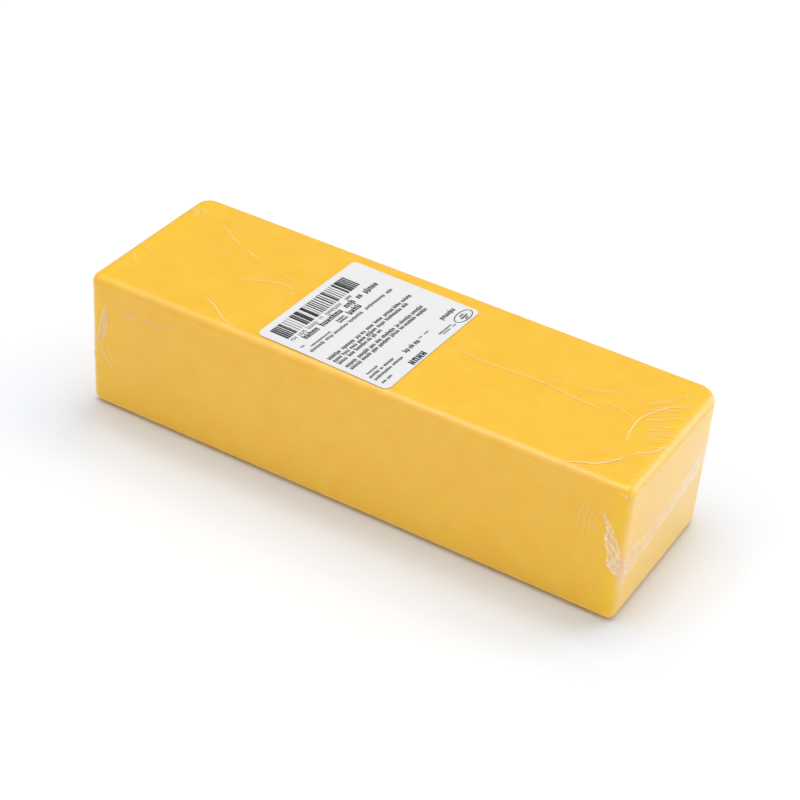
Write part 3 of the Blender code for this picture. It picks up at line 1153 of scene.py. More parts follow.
@dataclass
class FilmFolds:
    """The creases and ribs of the film, as fine ridges that stand on it.

    Attributes:
        form: The loaf's form.
        creases: Creases with a place of their own.
        seed: Seed of the ribs.
        rise: How far above the form the ridges' feet lie.
        slope: Height of a ridge as a share of its width.
        spread: How much wider than its crease a ridge is at its foot.
        tip: Width and height at a ridge's tips, as a share of the widest.
        rings: Rings of points along a ridge.
        over: Where the points of its upper side lie across it, from 1 to -1.
        under: Where the points of its underside lie, going back.
        core: Half the width of a solid pale line, on the same scale.
        solid: How pale that line is. It is partly milky film and partly a painted glint.
        rib_groups: Ribs that run in from an end: face, end, first and last place across the face in
            millimetres, count, and mean length in millimetres.
        fan_line: Where the fan of ribs on the top starts and ends, in millimetres.
        fan_count: How many ribs it has.
        stray_field: Ranges of the places of short ribs in front of it, in millimetres.
        stray_count: How many of these there are.
        slant: The way that fan and strays run, along and across the top.
    """

    form: LoafForm
    creases: tuple[Crease, ...]
    seed: int = 11
    rise: float = 0.03 * MM
    slope: float = 0.02
    spread: float = 1.45
    tip: float = 0.03
    rings: int = 22
    over: tuple[float, ...] = (1.0, 0.5, 0.44, 0.0, -0.44, -0.5, -1.0)
    under: tuple[float, ...] = (-0.4, 0.4)
    core: float = 0.47
    solid: float = 0.97
    rib_groups: tuple[tuple[Face, int, float, float, int, float], ...] = (
        (Face.TOP, -1, -38.0, 34.0, 6, 7.0),
        (Face.BACK, 1, 8.0, 66.0, 12, 9.0),
        (Face.BACK, -1, 8.0, 66.0, 12, 9.0),
    )
    fan_line: tuple[tuple[float, float], ...] = ((116.5, 15.0), (128.5, -14.0))
    fan_count: int = 17
    stray_field: tuple[tuple[float, float], ...] = ((112.0, 134.0), (-42.0, -27.0))
    stray_count: int = 10
    slant: tuple[float, float] = (0.81, 0.59)

    @property
    def profile(self) -> tuple[Array, Array]:
        """Where the points lie across a ridge, and which of them are on its upper side."""
        across = np.array(self.over + self.under)
        return across, np.arange(len(across)) < len(self.over)

    def ribs(self) -> list[Pleat]:
        """Ribs that run in from the ends, a fan of them on the top, and strays before it.

        Returns:
            The ribs, with seeded lengths, bends and widths.
        """
        draw = random.Random(self.seed)
        pleats = []
        for face, end, first, last, count, length in self.rib_groups:
            for k in range(count):
                across = first + (last - first) * (k + draw.uniform(0.1, 0.9)) / count
                run = length * draw.uniform(0.45, 1.35)
                start = (end * (self.form.half[0] / MM - draw.uniform(2.0, 5.0)), across)
                way = (-end * run, draw.uniform(-0.16, 0.16) * run)
                bend = draw.uniform(-0.05, 0.05) * run
                pleats.append(Pleat(face, start, way, bend, draw.uniform(0.2, 0.5)))
        (x, y), (last_x, last_y) = self.fan_line
        for at in np.linspace(0, 1, self.fan_count):
            off = draw.uniform(-1.2, 1.2)
            start = (x + (last_x - x) * at + draw.uniform(-1, 5), y + (last_y - y) * at + off)
            pleats.append(self.slanting(draw, start, (8.0, 21.0), (-0.12, 0.12), (0.2, 0.55)))
        for _ in range(self.stray_count):
            start = (draw.uniform(*self.stray_field[0]), draw.uniform(*self.stray_field[1]))
            pleats.append(self.slanting(draw, start, (4.0, 9.0), (-0.25, 0.1), (0.2, 0.4)))
        return pleats

    def slanting(
        self,
        draw: random.Random,
        start: tuple[float, float],
        lengths: tuple[float, float],
        strays: tuple[float, float],
        widths: tuple[float, float],
    ) -> Pleat:
        """A rib on the top that slants, drawn as length, way, width and bend in that order.

        Args:
            draw: Where its measures are drawn from.
            start: Where it starts, in millimetres on the top.
            lengths: Range of its length, in millimetres.
            strays: Range of how far its way differs from the slant, across the top.
            widths: Range of its width, in millimetres.

        Returns:
            The rib.
        """
        run = draw.uniform(*lengths)
        way = (self.slant[0] * run, (self.slant[1] + draw.uniform(*strays)) * run)
        width = draw.uniform(*widths)
        return Pleat(Face.TOP, start, way, draw.uniform(-0.8, 0.8), width)

    def ridge(self, face: Face, flat: Array, width: float, start: int) -> tuple[Array, list[Array]]:
        """One ridge: a low bell-shaped profile carried along a path on the loaf.

        Across the ridge, at q from -1 to 1, a point lies width / 2 times q aside and slope * width
        times (1 - q^2)^2 up. Width and height swell from nearly nothing at both tips as the root of
        sin(pi t). The underside, which closes it, is sunk in the cheese, so that a ray on its way
        there meets few skins of film.

        Args:
            face: The face that the path is on.
            flat: The path, on the face.
            width: Width at the widest, in metres.
            start: Number of its first point.

        Returns:
            Its points and faces.
        """
        middle, normals = self.form.place(face.on_box(self.form, flat), self.rise)
        ahead = np.gradient(middle, axis=0)
        aside = np.cross(normals, ahead)
        aside /= np.maximum(np.linalg.norm(aside, axis=1, keepdims=True), TINY)
        across, upper = self.profile
        t = np.linspace(0, 1, len(flat))
        swell = self.tip + (1 - self.tip) * np.sqrt(np.clip(np.sin(math.pi * t), 0, 1))
        up = np.where(upper, self.slope * width * (1 - across**2) ** 2, 0.0)
        lift = up[None] * swell[:, None] - np.where(upper, 0.0, SUNK)[None]
        rings = (
            middle[:, None]
            + aside[:, None] * (0.5 * width * across[None] * swell[:, None])[..., None]
            + normals[:, None] * lift[..., None]
        )
        points = np.vstack([rings.reshape(-1, 3), middle[:1], middle[-1:]])
        return points, tube_faces(len(flat), len(across), start)

    def milkiness(self, strength: float) -> Array:
        """How milky a ridge is at each of its points.

        A sharp crease has a solid pale line along its crest, partly milky film and partly a painted
        glint, with clear film right beside it. A patch fades out along it as sin(pi t)^0.6 and
        across it as 1 - q^2.

        Args:
            strength: 1 for a sharp crease, and how milky its middle is for a patch.

        Returns:
            One share for each point: the rings, and then nothing for the two tips.
        """
        across, upper = self.profile
        if strength == 1.0:
            along = np.ones(self.rings)
            over = np.where(upper & (np.abs(across) < self.core), self.solid, 0.0)
        else:
            t = np.linspace(0, 1, self.rings)
            along = strength * np.clip(np.sin(math.pi * t), 0, 1) ** 0.6
            over = np.where(upper, 1 - across**2, 0.0)
        return np.append(np.outer(along, over).ravel(), (0.0, 0.0))

    def build(self, finish: FilmFinish) -> bpy.types.Object:
        """Makes all the ridges as one piece.

        Args:
            finish: How creased film looks.

        Returns:
            The piece.
        """
        runs = [
            (c.face, smooth_path(c.knots, self.rings) * MM, c.width, c.milk_and_sheen) for c in self.creases
        ]
        # Ribs are solid pale lines too: partly milky film, partly a painted glint.
        runs += [(p.face, p.path(self.rings), p.width, 1.0) for p in self.ribs()]
        points, quads, triangles, milk_and_sheen, start = [], [], [], [], 0
        for face, flat, width, strength in runs:
            made, (sides, ends) = self.ridge(face, flat, width * MM * self.spread, start)
            points.append(made)
            quads.append(sides)
            triangles.append(ends)
            milk_and_sheen.append(self.milkiness(strength))
            start += len(made)
        return make_piece(
            "film_folds",
            np.vstack(points),
            [np.vstack(quads), np.vstack(triangles)],
            finish.make(),
            {"milk_and_sheen": np.concatenate(milk_and_sheen)},
        )


@dataclass
class EndSeal:
    """The welded seal across an end of the bag, folded flat against the end of the loaf.

    Attributes:
        form: The loaf's form.
        end: 1 for the right end, -1 for the left one.
        line: Its centre line: places across the end and heights, in millimetres.
        width: Its width.
        rise: How far it stands off the form.
        ragged: The two waves that make its rims ragged: share of its width, and radians per metre.
        taper: Its width at the front and from before the middle on, as shares of its width.
        crumple_height: Height of its crumpling.
        crumple_sizes: Sizes of the crumpling's waves in millimetres, and the share of each.
        seed: Seed of its crumpling.
        columns: Grid lines along it.
        rows: Grid lines across it.
    """

    form: LoafForm
    end: int
    line: tuple[tuple[float, float], ...] = SEAL_LINE
    width: float = 12.0 * MM
    rise: float = 0.2 * MM
    ragged: tuple[tuple[float, float], ...] = ((0.12, 290.0), (0.10, 610.0))
    taper: tuple[float, float] = (1.45, 0.85)
    crumple_height: float = 0.05 * MM
    crumple_sizes: tuple[tuple[float, float], ...] = ((11.0, 0.45), (5.3, 0.3), (2.6, 0.25))
    seed: int = 3
    columns: int = 160
    rows: int = 21

    def crumple(self, s: Array, v: Array) -> Array:
        """Crumpling from -1 to 1: folded waves |sin| along and across, three sizes of them.

        Args:
            s: Place along the seal.
            v: Place across it.

        Returns:
            One value for each place.
        """
        draw = random.Random(self.seed + self.end)
        total = np.zeros_like(s)
        for size, share in self.crumple_sizes:
            along, over, shift = draw.uniform(0.7, 1.3), draw.uniform(0.3, 1.1), draw.uniform(0, 6)
            wave = np.abs(np.sin(math.pi * (s * along + v * over) / (size * MM) + shift))
            total += share * (2 * wave - 1)
        return total

    def milkiness(self, t: Array, crumpled: Array) -> Array:
        """How milky the weld is along its middle, 0 to 1.

        It has a thin even haze, a little thicker in patches and towards the back, and thickest at
        the front, where it is drawn together. The highest crests of the crumpling carry painted
        white glints.

        Args:
            t: Place along the seal, 0 at the front and 1 at the back.
            crumpled: Crumpling there, from -1 to 1.

        Returns:
            One share for each place.
        """
        front = 1 - smoothstep(0.10, 0.34, t)
        back = smoothstep(0.65, 0.95, t)
        patch = smoothstep(-0.45, 0.45, crumpled)
        glint = smoothstep(0.70, 0.92, crumpled)
        haze = 0.07 + 0.04 * patch + 0.05 * back + 0.15 * front * (0.5 + 0.5 * patch)
        # Painted white glints on the crumple's crests, strongest at the front.
        return haze + glint * (0.12 + 0.4 * front)

    def build(self, finish: FilmFinish) -> bpy.types.Object:
        """Makes the band on a grid along and across the seal. Its underside is sunk in the cheese.

        Across the band q runs -1 to 1. It narrows from the front, and its two rims are ragged, by
        one wave together and one each. Height and milkiness fall off to the rims as 1 - |q|^1.8.

        Args:
            finish: How welded film looks.

        Returns:
            The piece.
        """
        path = smooth_path(self.line, self.columns) * MM
        t, q = np.meshgrid(
            np.linspace(0, 1, self.columns), np.linspace(-1, 1, self.rows), indexing="ij"
        )
        s = np.repeat(path[:, :1], self.rows, axis=1)
        (both, slow), (each, fast) = self.ragged
        ragged = 1 + both * np.sin(s * slow) + each * np.sin(s * fast + 1 + 4 * np.sign(q))
        wide, narrow = self.taper
        taper = wide + (narrow - wide) * smoothstep(0.10, 0.45, t)
        offset = 0.5 * q * self.width * ragged * taper
        flat = np.stack([s.ravel(), (path[:, 1:] + offset).ravel()], axis=1)
        face = Face.RIGHT if self.end > 0 else Face.LEFT
        on_box = face.on_box(self.form, flat)
        crumpled = self.crumple(s, offset).ravel()
        edge = 1 - np.abs(q.ravel()) ** 1.8
        lift = self.rise * (0.35 + 0.65 * edge) + self.crumple_height * crumpled * edge
        top, _ = self.form.place(on_box, lift)
        under, _ = self.form.place(on_box, -SUNK)
        milk_and_sheen = self.milkiness(t.ravel(), crumpled) * edge
        return make_piece(
            "seal_right" if self.end > 0 else "seal_left",
            np.vstack([top, under]),
            [sheet_faces(self.columns, self.rows, flip=self.end < 0)],
            finish.make(),
            {"milk_and_sheen": np.concatenate([milk_and_sheen, np.zeros_like(milk_and_sheen)])},
        )


# Ears: the joined edge and the free edge, each from foot to tip, as distance in from the end and
# height above the foot, in millimetres.
LOOSE_EAR = (
    (
        (-0.5, 1.2), (-0.5, 5.0), (0.0, 8.5), (0.6, 12.6),
        (3.5, 19.8), (6.8, 25.8), (9.8, 30.0), (12.2, 33.4),
    ),
    (
        (2.1, 1.7), (4.7, 4.6), (6.7, 8.0), (6.5, 11.7), (7.9, 16.3),
        (9.1, 20.3), (8.8, 23.8), (10.1, 28.0), (12.5, 34.0),
    ),
)  # fmt: skip
FLAT_EAR = (
    ((4.0, 0.0), (4.6, 4.0), (5.6, 8.0), (6.7, 12.6), (8.0, 18.6), (9.8, 24.4)),
    ((4.3, -0.2), (6.6, 3.2), (8.6, 8.0), (10.4, 13.0), (11.2, 17.0), (10.2, 24.0)),
)  # fmt: skip


@dataclass
class FilmEar:
    """A crumpled ear of doubled film, laid back against a long side at an end of a seal.

    Attributes:
        form: The loaf's form.
        end: 1 at the right end, -1 at the left.
        side: -1 on the front, 1 on the back.
        outline: Its joined edge and its free edge.
        size: Its size as a share of the outline's.
        stand_off: How far its free edge stands off the loaf.
        foot: Height at which it starts.
        milk_and_sheen: How milky it is.
        shine: How strongly painted highlights and glints lie on its edges, foot and creases, 0 to
            1.
        thickness: How far it stands off the loaf at least, but for its rim.
        fold_waves: Its folded waves, the largest first, in radians up it and across it.
        fold_heights: Their heights, as shares of stand_off.
        columns: Grid lines up it.
        rows: Grid lines across it.
    """

    form: LoafForm
    end: int
    side: int
    outline: tuple[tuple[tuple[float, float], ...], ...]
    size: float
    stand_off: float
    foot: float
    milk_and_sheen: float
    shine: float = 1.0
    thickness: float = 0.28 * MM
    fold_waves: tuple[tuple[float, float], ...] = ((7.5, 2.6), (17.0, -6.0), (41.0, 9.0))
    fold_heights: tuple[float, ...] = (0.20, 0.13, 0.07)
    columns: int = 72
    rows: int = 26

    def waves(self, t: Array, w: Array) -> Array:
        """Folded waves |sin| of three sizes that crumple the ear, the largest first, 0 to 1.

        Args:
            t: Place up the ear, 0 at its foot and 1 at its tip.
            w: Place across it, 0 at the joined edge and 1 at the free edge.

        Returns:
            A row for each size.
        """
        shifts = (self.end, self.side, 0.0)
        waves = [up * t + over * w + s for (up, over), s in zip(self.fold_waves, shifts)]
        return np.abs(np.sin(np.stack(waves)))

    def milkiness(self, t: Array, w: Array) -> Array:
        """How milky the ear is, 0 to 1.

        It is milkiest at its foot, along its edges and on the crests of its folds, which is partly
        milky doubled film and partly a painted highlight. On these lie small sparks of painted
        glint, where the product of two crossing waves is high.

        Args:
            t: Place up the ear, 0 at its foot and 1 at its tip.
            w: Place across it, 0 at the joined edge and 1 at the free edge.

        Returns:
            One share for each place.
        """
        large, small, _ = self.waves(t, w)
        crest = smoothstep(0.80, 1.0, large) + 0.8 * smoothstep(0.86, 1.0, small)
        edge = smoothstep(0.88, 0.97, w) + smoothstep(0.90, 1.0, 1 - w) * (t > 0.45)
        foot = smoothstep(0.62, 1.0, 1 - t)
        # The shine terms are partly a painted highlight, and the sparks are painted glints.
        haze = 0.46 + self.shine * (0.30 * crest + 0.40 * foot + 0.25 * edge)
        spark = smoothstep(0.35, 0.9, np.sin(29 * t + 5 * w + 1) * np.sin(13 * t - 3 * w))
        glint = self.shine * spark * np.clip(0.7 * edge + 0.5 * crest, 0, 0.8)
        return np.clip(self.milk_and_sheen * haze + glint, 0, 1)

    def build(self, finish: FilmFinish) -> bpy.types.Object:
        """Makes the ear. Its underside is sunk in the cheese.

        Up the ear t runs 0 to 1, and across it w runs 0 at the joined edge to 1 at the free edge,
        straight from one outline to the other, and half a millimetre in and out by a fine wave.
        The ear bows off the loaf as w times a sine of t, crumpled by its folded waves, and comes
        down to the film round its rim.

        Args:
            finish: How crumpled film looks.

        Returns:
            The piece.
        """
        t, w = np.meshgrid(
            np.linspace(0, 1, self.columns), np.linspace(0, 1, self.rows), indexing="ij"
        )
        joined, free = (smooth_path(edge, self.columns) for edge in self.outline)
        flat = joined[:, None] + (free - joined)[:, None] * w[..., None]
        inset, height = (flat[..., k].ravel() * MM * self.size for k in range(2))
        t, w = t.ravel(), w.ravel()
        inset += 0.5 * MM * self.size * np.sin(t * 41) * w * (1 - t)
        x = self.form.half[0] - np.maximum(inset, 0)
        y = self.form.half[1] + np.minimum(inset, 0)
        on_box = np.stack([self.end * x, self.side * y, self.foot + height], axis=1)
        bow = np.sin(math.pi * (0.12 + 0.82 * t))
        crumple = np.array(self.fold_heights) @ self.waves(t, w) - self.fold_heights[0]
        lift = self.stand_off * (w * bow * 0.8 + crumple * np.minimum(1, 3 * w))
        rim = np.minimum(1, 6 * np.minimum(w, 1 - w)) * np.minimum(1, 12 * np.minimum(t, 1 - t))
        lift = np.maximum(lift, 0.0) + self.thickness * rim
        outward = np.array((0.35 * self.end, self.side, 0.0))
        outward /= np.linalg.norm(outward)
        top = self.form.place(on_box)[0] + outward * lift[:, None]
        under = self.form.place(on_box, -SUNK)[0]
        milk_and_sheen = self.milkiness(t, w)
        end, side = "right" if self.end > 0 else "left", "back" if self.side > 0 else "front"
        return make_piece(
            f"ear_{end}_{side}",
            np.vstack([top, under]),
            [sheet_faces(self.columns, self.rows, flip=self.end * self.side > 0)],
            finish.make(),
            {"milk_and_sheen": np.concatenate([milk_and_sheen, np.zeros_like(milk_and_sheen)])},
        )


# --- label ----------------------------------------------------------------------------------


@dataclass
class Label:
    """The weigh label, stuck over the film on top of the loaf.

    Its page runs across the loaf: a line of print starts near the front and reads towards the
    back, and lines follow each other towards the right end.

    Attributes:
        form: The loaf's form.
        page_width: Size along the lines, which is across the loaf.
        page_height: Size down the page, which is along the loaf.
        centre: Its middle on the top face.
        turn: Its turn about +Z, in degrees.
        corner: Radius of its corners.
        rise: How far its underside lies above the form.
        thickness: Thickness of the paper.
        cockle: Height of its slow waves.
        cockle_waves: These, in radians per metre: the first across; the second down and across.
        edge_lift: How far its edges lift.
        pitch: Grid pitch.
    """

    form: LoafForm
    page_width: float = 79.0 * MM
    page_height: float = 70.5 * MM
    centre: tuple[float, float] = (-13.5 * MM, -3.4 * MM)
    turn: float = -1.65
    corner: float = 3.0 * MM
    rise: float = 0.10 * MM
    thickness: float = 0.14 * MM
    cockle: float = 0.03 * MM
    cockle_waves: tuple[float, float, float] = (150.0, 190.0, 60.0)
    edge_lift: float = 0.05 * MM
    pitch: float = 1.6 * MM

    @property
    def half(self) -> Array:
        """Half the page's width and height."""
        return np.array((self.page_width, self.page_height)) / 2

    def waves(self, flat: Array) -> Array:
        """Cockle of the paper: a product of slow waves, and edges that lift a little.

        Args:
            flat: Rows of places across and down the page, from its middle.

        Returns:
            One height for each place.
        """
        across, down = flat.T
        first, second, slant = self.cockle_waves
        waves = np.sin(across * first + 1) * np.sin(down * second + across * slant)
        rim = (np.abs(flat) / self.half).max(axis=1) ** 10
        return self.cockle * waves + self.edge_lift * rim

    def on_top(self, across: Array, down: Array, rise: Array | float) -> Array:
        """Lays points of the page on the loaf.

        Args:
            across: Distance along the lines of print, from the page's middle.
            down: Distance down the page, from the page's middle.
            rise: How far above the form the points lie.

        Returns:
            The points, one row each. Past the front edge they follow the rounding down.
        """
        angle = math.radians(self.turn)
        x = self.centre[0] + down * math.cos(angle) - across * math.sin(angle)
        y = self.centre[1] + down * math.sin(angle) + across * math.cos(angle)
        box = np.stack([x, y, np.full(len(x), self.form.size[2])], axis=1)
        return self.form.place(box, rise)[0]

    def build(self, finish: PaperFinish) -> bpy.types.Object:
        """Makes the paper: a thin box on a grid, its corners drawn into quarter circles.

        Across, down and up the page turn the other way from X, Y and Z, so the faces are turned
        round to point outwards.

        Args:
            finish: How the paper looks.

        Returns:
            The piece.
        """
        half, edge = self.half, self.corner
        grid = [stations(h, edge, [(TO_MIDDLE, self.pitch)]) for h in half]
        points, faces = box_grid([*grid, np.array((0.0, self.thickness))])
        over = np.abs(points[:, :2]) - (half - edge)
        in_corner = (over > 0).all(axis=1)
        reach = np.maximum(np.hypot(over[:, 0], over[:, 1]), TINY)
        sign = np.sign(points[:, :2])
        drawn = sign * (half - edge + over * (over.max(axis=1) / reach)[:, None])
        flat = np.where(in_corner[:, None], drawn, points[:, :2])
        lift = self.rise + points[:, 2] + self.waves(flat)
        placed = self.on_top(flat[:, 0], flat[:, 1], lift)
        return make_piece("label_paper", placed, [faces[:, ::-1]], finish.make())


@dataclass(frozen=True)
class PrintLine:
    """A line of print: words that are rows of plain strokes. Places are millimetres on the page.

    Attributes:
        foot: Height of its foot down the page.
        size: Height of its strokes.
        weight: Thickness of its strokes.
        tone: How grey it is, from 0, black, to 1.
        words: Where its words start and end across the page, by turns.
    """

    foot: float
    size: float
    weight: float
    tone: float
    words: tuple[float, ...]


# Fields of bars: where each starts and ends across the page, and how much of it is ink.
BAR_FIELDS = (
    (5.0, 12.2, 0.78), (12.2, 19.6, 0.30), (19.6, 26.2, 0.86), (26.2, 27.6, 0.15),
    (27.6, 29.4, 1.0), (29.4, 32.4, 0.30), (32.4, 37.0, 0.62), (37.0, 44.4, 0.52),
    (44.4, 46.2, 0.88), (46.2, 53.2, 0.42), (53.2, 57.8, 0.84), (57.8, 63.8, 0.62),
)  # fmt: skip
PRINT_LINES = (
    PrintLine(16.7, 1.8, 0.4, 0.5, (5, 9, 10.5, 16, 17.5, 25, 27.5, 30, 32, 44, 48, 52.5)),
    PrintLine(20.6, 2.5, 1.0, 0.0, (10, 21, 23.2, 39.6, 42.5, 50, 52.5, 56.2, 58.5, 69.3)),
    PrintLine(23.2, 1.0, 0.45, 0.1, (30.5, 36.5)),
    PrintLine(25.0, 1.2, 0.5, 0.1, (30.5, 37)),
    PrintLine(25.0, 2.6, 0.85, 0.0, (39, 48.6)),
    PrintLine(22.9, 1.1, 0.3, 0.3, (3, 5.5)),
    PrintLine(25.7, 0.9, 0.35, 0.3, (6.5, 21.8)),
    PrintLine(
        28.3, 1.4, 0.42, 0.2,
        (3, 13.4, 14.8, 20.5, 21.5, 32.4, 33.5, 44.4, 47, 63, 64.5, 69.4),
    ),
    PrintLine(
        38.1, 1.6, 0.5, 0.0,
        (3, 12, 13.5, 23, 24.5, 28, 28.6, 32, 33.2, 38.6, 40, 46, 47.5, 55.4, 56, 62, 63, 70.6),
    ),
    PrintLine(
        40.9, 1.6, 0.5, 0.0,
        (3, 9, 10, 15, 16, 21, 22, 28, 29, 37, 38, 44, 45, 58, 59, 63.5),
    ),
    PrintLine(43.5, 1.6, 0.5, 0.0, (3, 9.6, 10.8, 15.4, 16.5, 25.4, 26, 29, 30, 33, 34, 37.3)),
    PrintLine(
        47.4, 1.6, 0.5, 0.0,
        (3, 11, 12.5, 21, 22, 26, 27, 31, 32, 42, 43.5, 46, 46.7, 56, 56.7, 66),
    ),
    PrintLine(
        50.0, 1.6, 0.5, 0.0,
        (3, 11, 12, 19, 20, 24.5, 25.5, 34.5, 35.5, 42, 43, 46, 46.7, 56, 57, 65.4),
    ),
    PrintLine(57.5, 1.0, 0.35, 0.3, (4, 12.4)),
    PrintLine(60.0, 1.2, 0.42, 0.1, (2.6, 10, 11, 13, 14, 21.5)),
    PrintLine(62.7, 1.2, 0.42, 0.1, (2.6, 16, 17, 25)),
    PrintLine(66.4, 1.1, 0.42, 0.1, (2.6, 6, 7, 10.4)),
    PrintLine(61.8, 2.0, 0.68, 0.0, (28.6, 32.2, 32.9, 36.2, 37, 40.8)),
    PrintLine(60.4, 0.9, 0.3, 0.5, (42, 44.4, 46.4, 50)),
    PrintLine(60.6, 2.0, 0.62, 0.0, (61.6, 73.4)),
    PrintLine(69.6, 3.4, 1.0, 0.0, (22.6, 34.8)),
    PrintLine(65.9, 0.9, 0.3, 0.5, (50.4, 61)),
    PrintLine(67.3, 0.8, 0.25, 0.7, (52, 58, 60, 63)),
    PrintLine(65.6, 0.9, 0.45, 0.05, (69, 72.4)),
    PrintLine(67.1, 0.9, 0.45, 0.05, (67.8, 73.4)),
    PrintLine(68.5, 0.8, 0.4, 0.05, (69.4, 72)),
)  # fmt: skip


@dataclass
class LabelPrint:
    """The label's print: fields of plain bars, rows of word-like strokes and an oval.

    It has no letters. Places are in millimetres on the page, across and down from the corner
    where it starts. A mark is a block of ink: its left, top, right, bottom and tone.

    Attributes:
        label: The label that it is on.
        seed: Seed of the bars and strokes.
        ink_rise: How far the ink stands above the paper.
        ink_sunk: How far it reaches into the paper, as a share of that.
        strips: Strips down each block of ink, which let it follow the paper.
        bar_top: Where the bars start down the page.
        bar_foot: Where they end.
        bar_pitches: Range of their pitch, which is one for each field.
        bar_shares: Range of their width, as a share of what their field's ink needs.
        pair_pitch: Pitch of the pairs of strokes in a word, as a share of their height.
        pair_width: Width of a pair, as a share of its pitch.
        oval_middle: Middle of the oval ring, across and down.
        oval_half: Half its width and half its height.
        oval_line: Thickness of its line.
        oval_tone: How grey it is.
        oval_count: Points round it.
    """

    label: Label
    seed: int = 21
    ink_rise: float = 0.035 * MM
    ink_sunk: float = 0.3
    strips: int = 3
    bar_top: float = 3.6
    bar_foot: float = 13.8
    bar_pitches: tuple[float, float] = (1.4, 2.1)
    bar_shares: tuple[float, float] = (0.679, 1.2125)
    pair_pitch: float = 0.95
    pair_width: float = 0.82
    oval_middle: tuple[float, float] = (70.6, 66.2)
    oval_half: tuple[float, float] = (6.7, 3.3)
    oval_line: float = 0.55
    oval_tone: float = 0.15
    oval_count: int = 72

    def bars(self) -> list[Mark]:
        """Lays out the fields of bars: bars and gaps by turns, whose shares fit the field's.

        Returns:
            The bars. A field that is all ink is one bar.
        """
        draw = random.Random(self.seed)
        marks = []
        for left, right, share in BAR_FIELDS:
            wide = right - left
            count = 1 if share == 1.0 else max(1, round(wide / draw.uniform(*self.bar_pitches)))
            pitch = wide / count
            for k in range(count):
                ink = pitch * min(0.97, share * draw.uniform(*self.bar_shares))
                at = left + k * pitch
                marks.append((at, self.bar_top, at + ink, self.bar_foot, 0.0))
        return marks

    def line(self, line: PrintLine) -> list[Mark]:
        """Lays out a line: each word is a row of paired strokes with a short bar between them.

        The first stroke of a pair may reach up or down past the line. The bar lies at the top, at
        the foot or between them.

        Args:
            line: The line's measures and words.

        Returns:
            Three marks for each pair.
        """
        draw = random.Random(self.seed + round(line.foot * 10))
        top, foot, tone = line.foot - line.size, line.foot, line.tone
        marks = []
        for left, right in zip(line.words[::2], line.words[1::2]):
            count = max(1, round((right - left) / (self.pair_pitch * line.size)))
            pitch = (right - left) / count
            wide = self.pair_width * pitch
            stroke = min(line.weight, 0.4 * wide)
            for k in range(count):
                at = left + k * pitch
                end = at + wide
                high = foot - line.size * draw.choice((1.0, 1.0, 1.0, 1.4))
                low = foot + line.size * draw.choice((0.0, 0.0, 0.0, 0.0, 0.35))
                level = draw.choice((top, foot - stroke, foot - 0.6 * line.size))
                marks.append((at, high, at + stroke, low, tone))
                marks.append((end - stroke, top, end, foot, tone))
                marks.append((at + stroke, level, end - stroke, level + stroke, tone))
        return marks

    def on_page(self, across: Array, down: Array, up: Array | float) -> Array:
        """Lays ink on the label.

        Args:
            across: Places across the page, in millimetres.
            down: Places down the page, in millimetres.
            up: Height above the paper, as a share of the ink's.

        Returns:
            The points, one row each.
        """
        flat = np.stack([across, down], axis=1) * MM - self.label.half
        paper = self.label.rise + self.label.thickness + self.label.waves(flat)
        return self.label.on_top(flat[:, 0], flat[:, 1], paper + up * self.ink_rise)

    def prisms(self, marks: Array) -> tuple[Array, Array]:
        """Thin boxes of ink for marks, each cut into strips so that it follows the paper.

        Args:
            marks: One row for each mark.

        Returns:
            The points and the four-sided faces.
        """
        once = np.array((0.0, 1.0))
        cut, faces = box_grid([once, np.linspace(0, 1, self.strips + 1), once])
        left, top, right, bottom = (marks[:, k, None] for k in range(4))
        across = left + (right - left) * cut[None, :, 0]
        down = top + (bottom - top) * cut[None, :, 1]
        up = np.tile(cut[:, 2] * (1 + self.ink_sunk) - self.ink_sunk, len(marks))
        points = self.on_page(across.ravel(), down.ravel(), up)
        every = faces[None] + np.arange(len(marks))[:, None, None] * len(cut)
        return points, every.reshape(-1, 4)[:, ::-1]

    def oval(self) -> tuple[Array, Array]:
        """A plain oval ring of ink, whose square profile is carried round an ellipse.

        Returns:
            The points and the four-sided faces.
        """
        angle = np.linspace(0, 2 * math.pi, self.oval_count, endpoint=False)
        low, line = -self.ink_sunk, self.oval_line
        rings = []
        for inset, level in ((0, low), (0, 1), (line, 1), (line, low)):
            across = self.oval_middle[0] + (self.oval_half[0] - inset) * np.cos(angle)
            down = self.oval_middle[1] + (self.oval_half[1] - inset) * np.sin(angle)
            rings.append(self.on_page(across, down, level))
        points = np.stack(rings, axis=1)
        number = np.arange(self.oval_count * len(rings)).reshape(self.oval_count, len(rings))
        ahead, over = np.roll(number, -1, axis=0), np.roll(number, -1, axis=1)
        both = np.roll(ahead, -1, axis=1)
        faces = np.stack([number, over, both, ahead], axis=-1).reshape(-1, 4)
        return points.reshape(-1, 3), faces

    def build(self, finish: InkFinish) -> bpy.types.Object:
        """Makes all the print as one piece.

        Args:
            finish: How the print looks.

        Returns:
            The piece.
        """
        marks = self.bars()
        for line in PRINT_LINES:
            marks += self.line(line)
        blocks = np.array(marks)
        points, faces = self.prisms(blocks)
        tones = np.repeat(blocks[:, 4], len(points) // len(blocks))
        ring, ring_faces = self.oval()
        return make_piece(
            "label_print",
            np.vstack([points, ring]),
            [faces, ring_faces + len(points)],
            finish.make(),
            {"tone": np.append(tones, np.full(len(ring), self.oval_tone))},
            smooth=False,
        )


# --- studio ---------------------------------------------------------------------------------


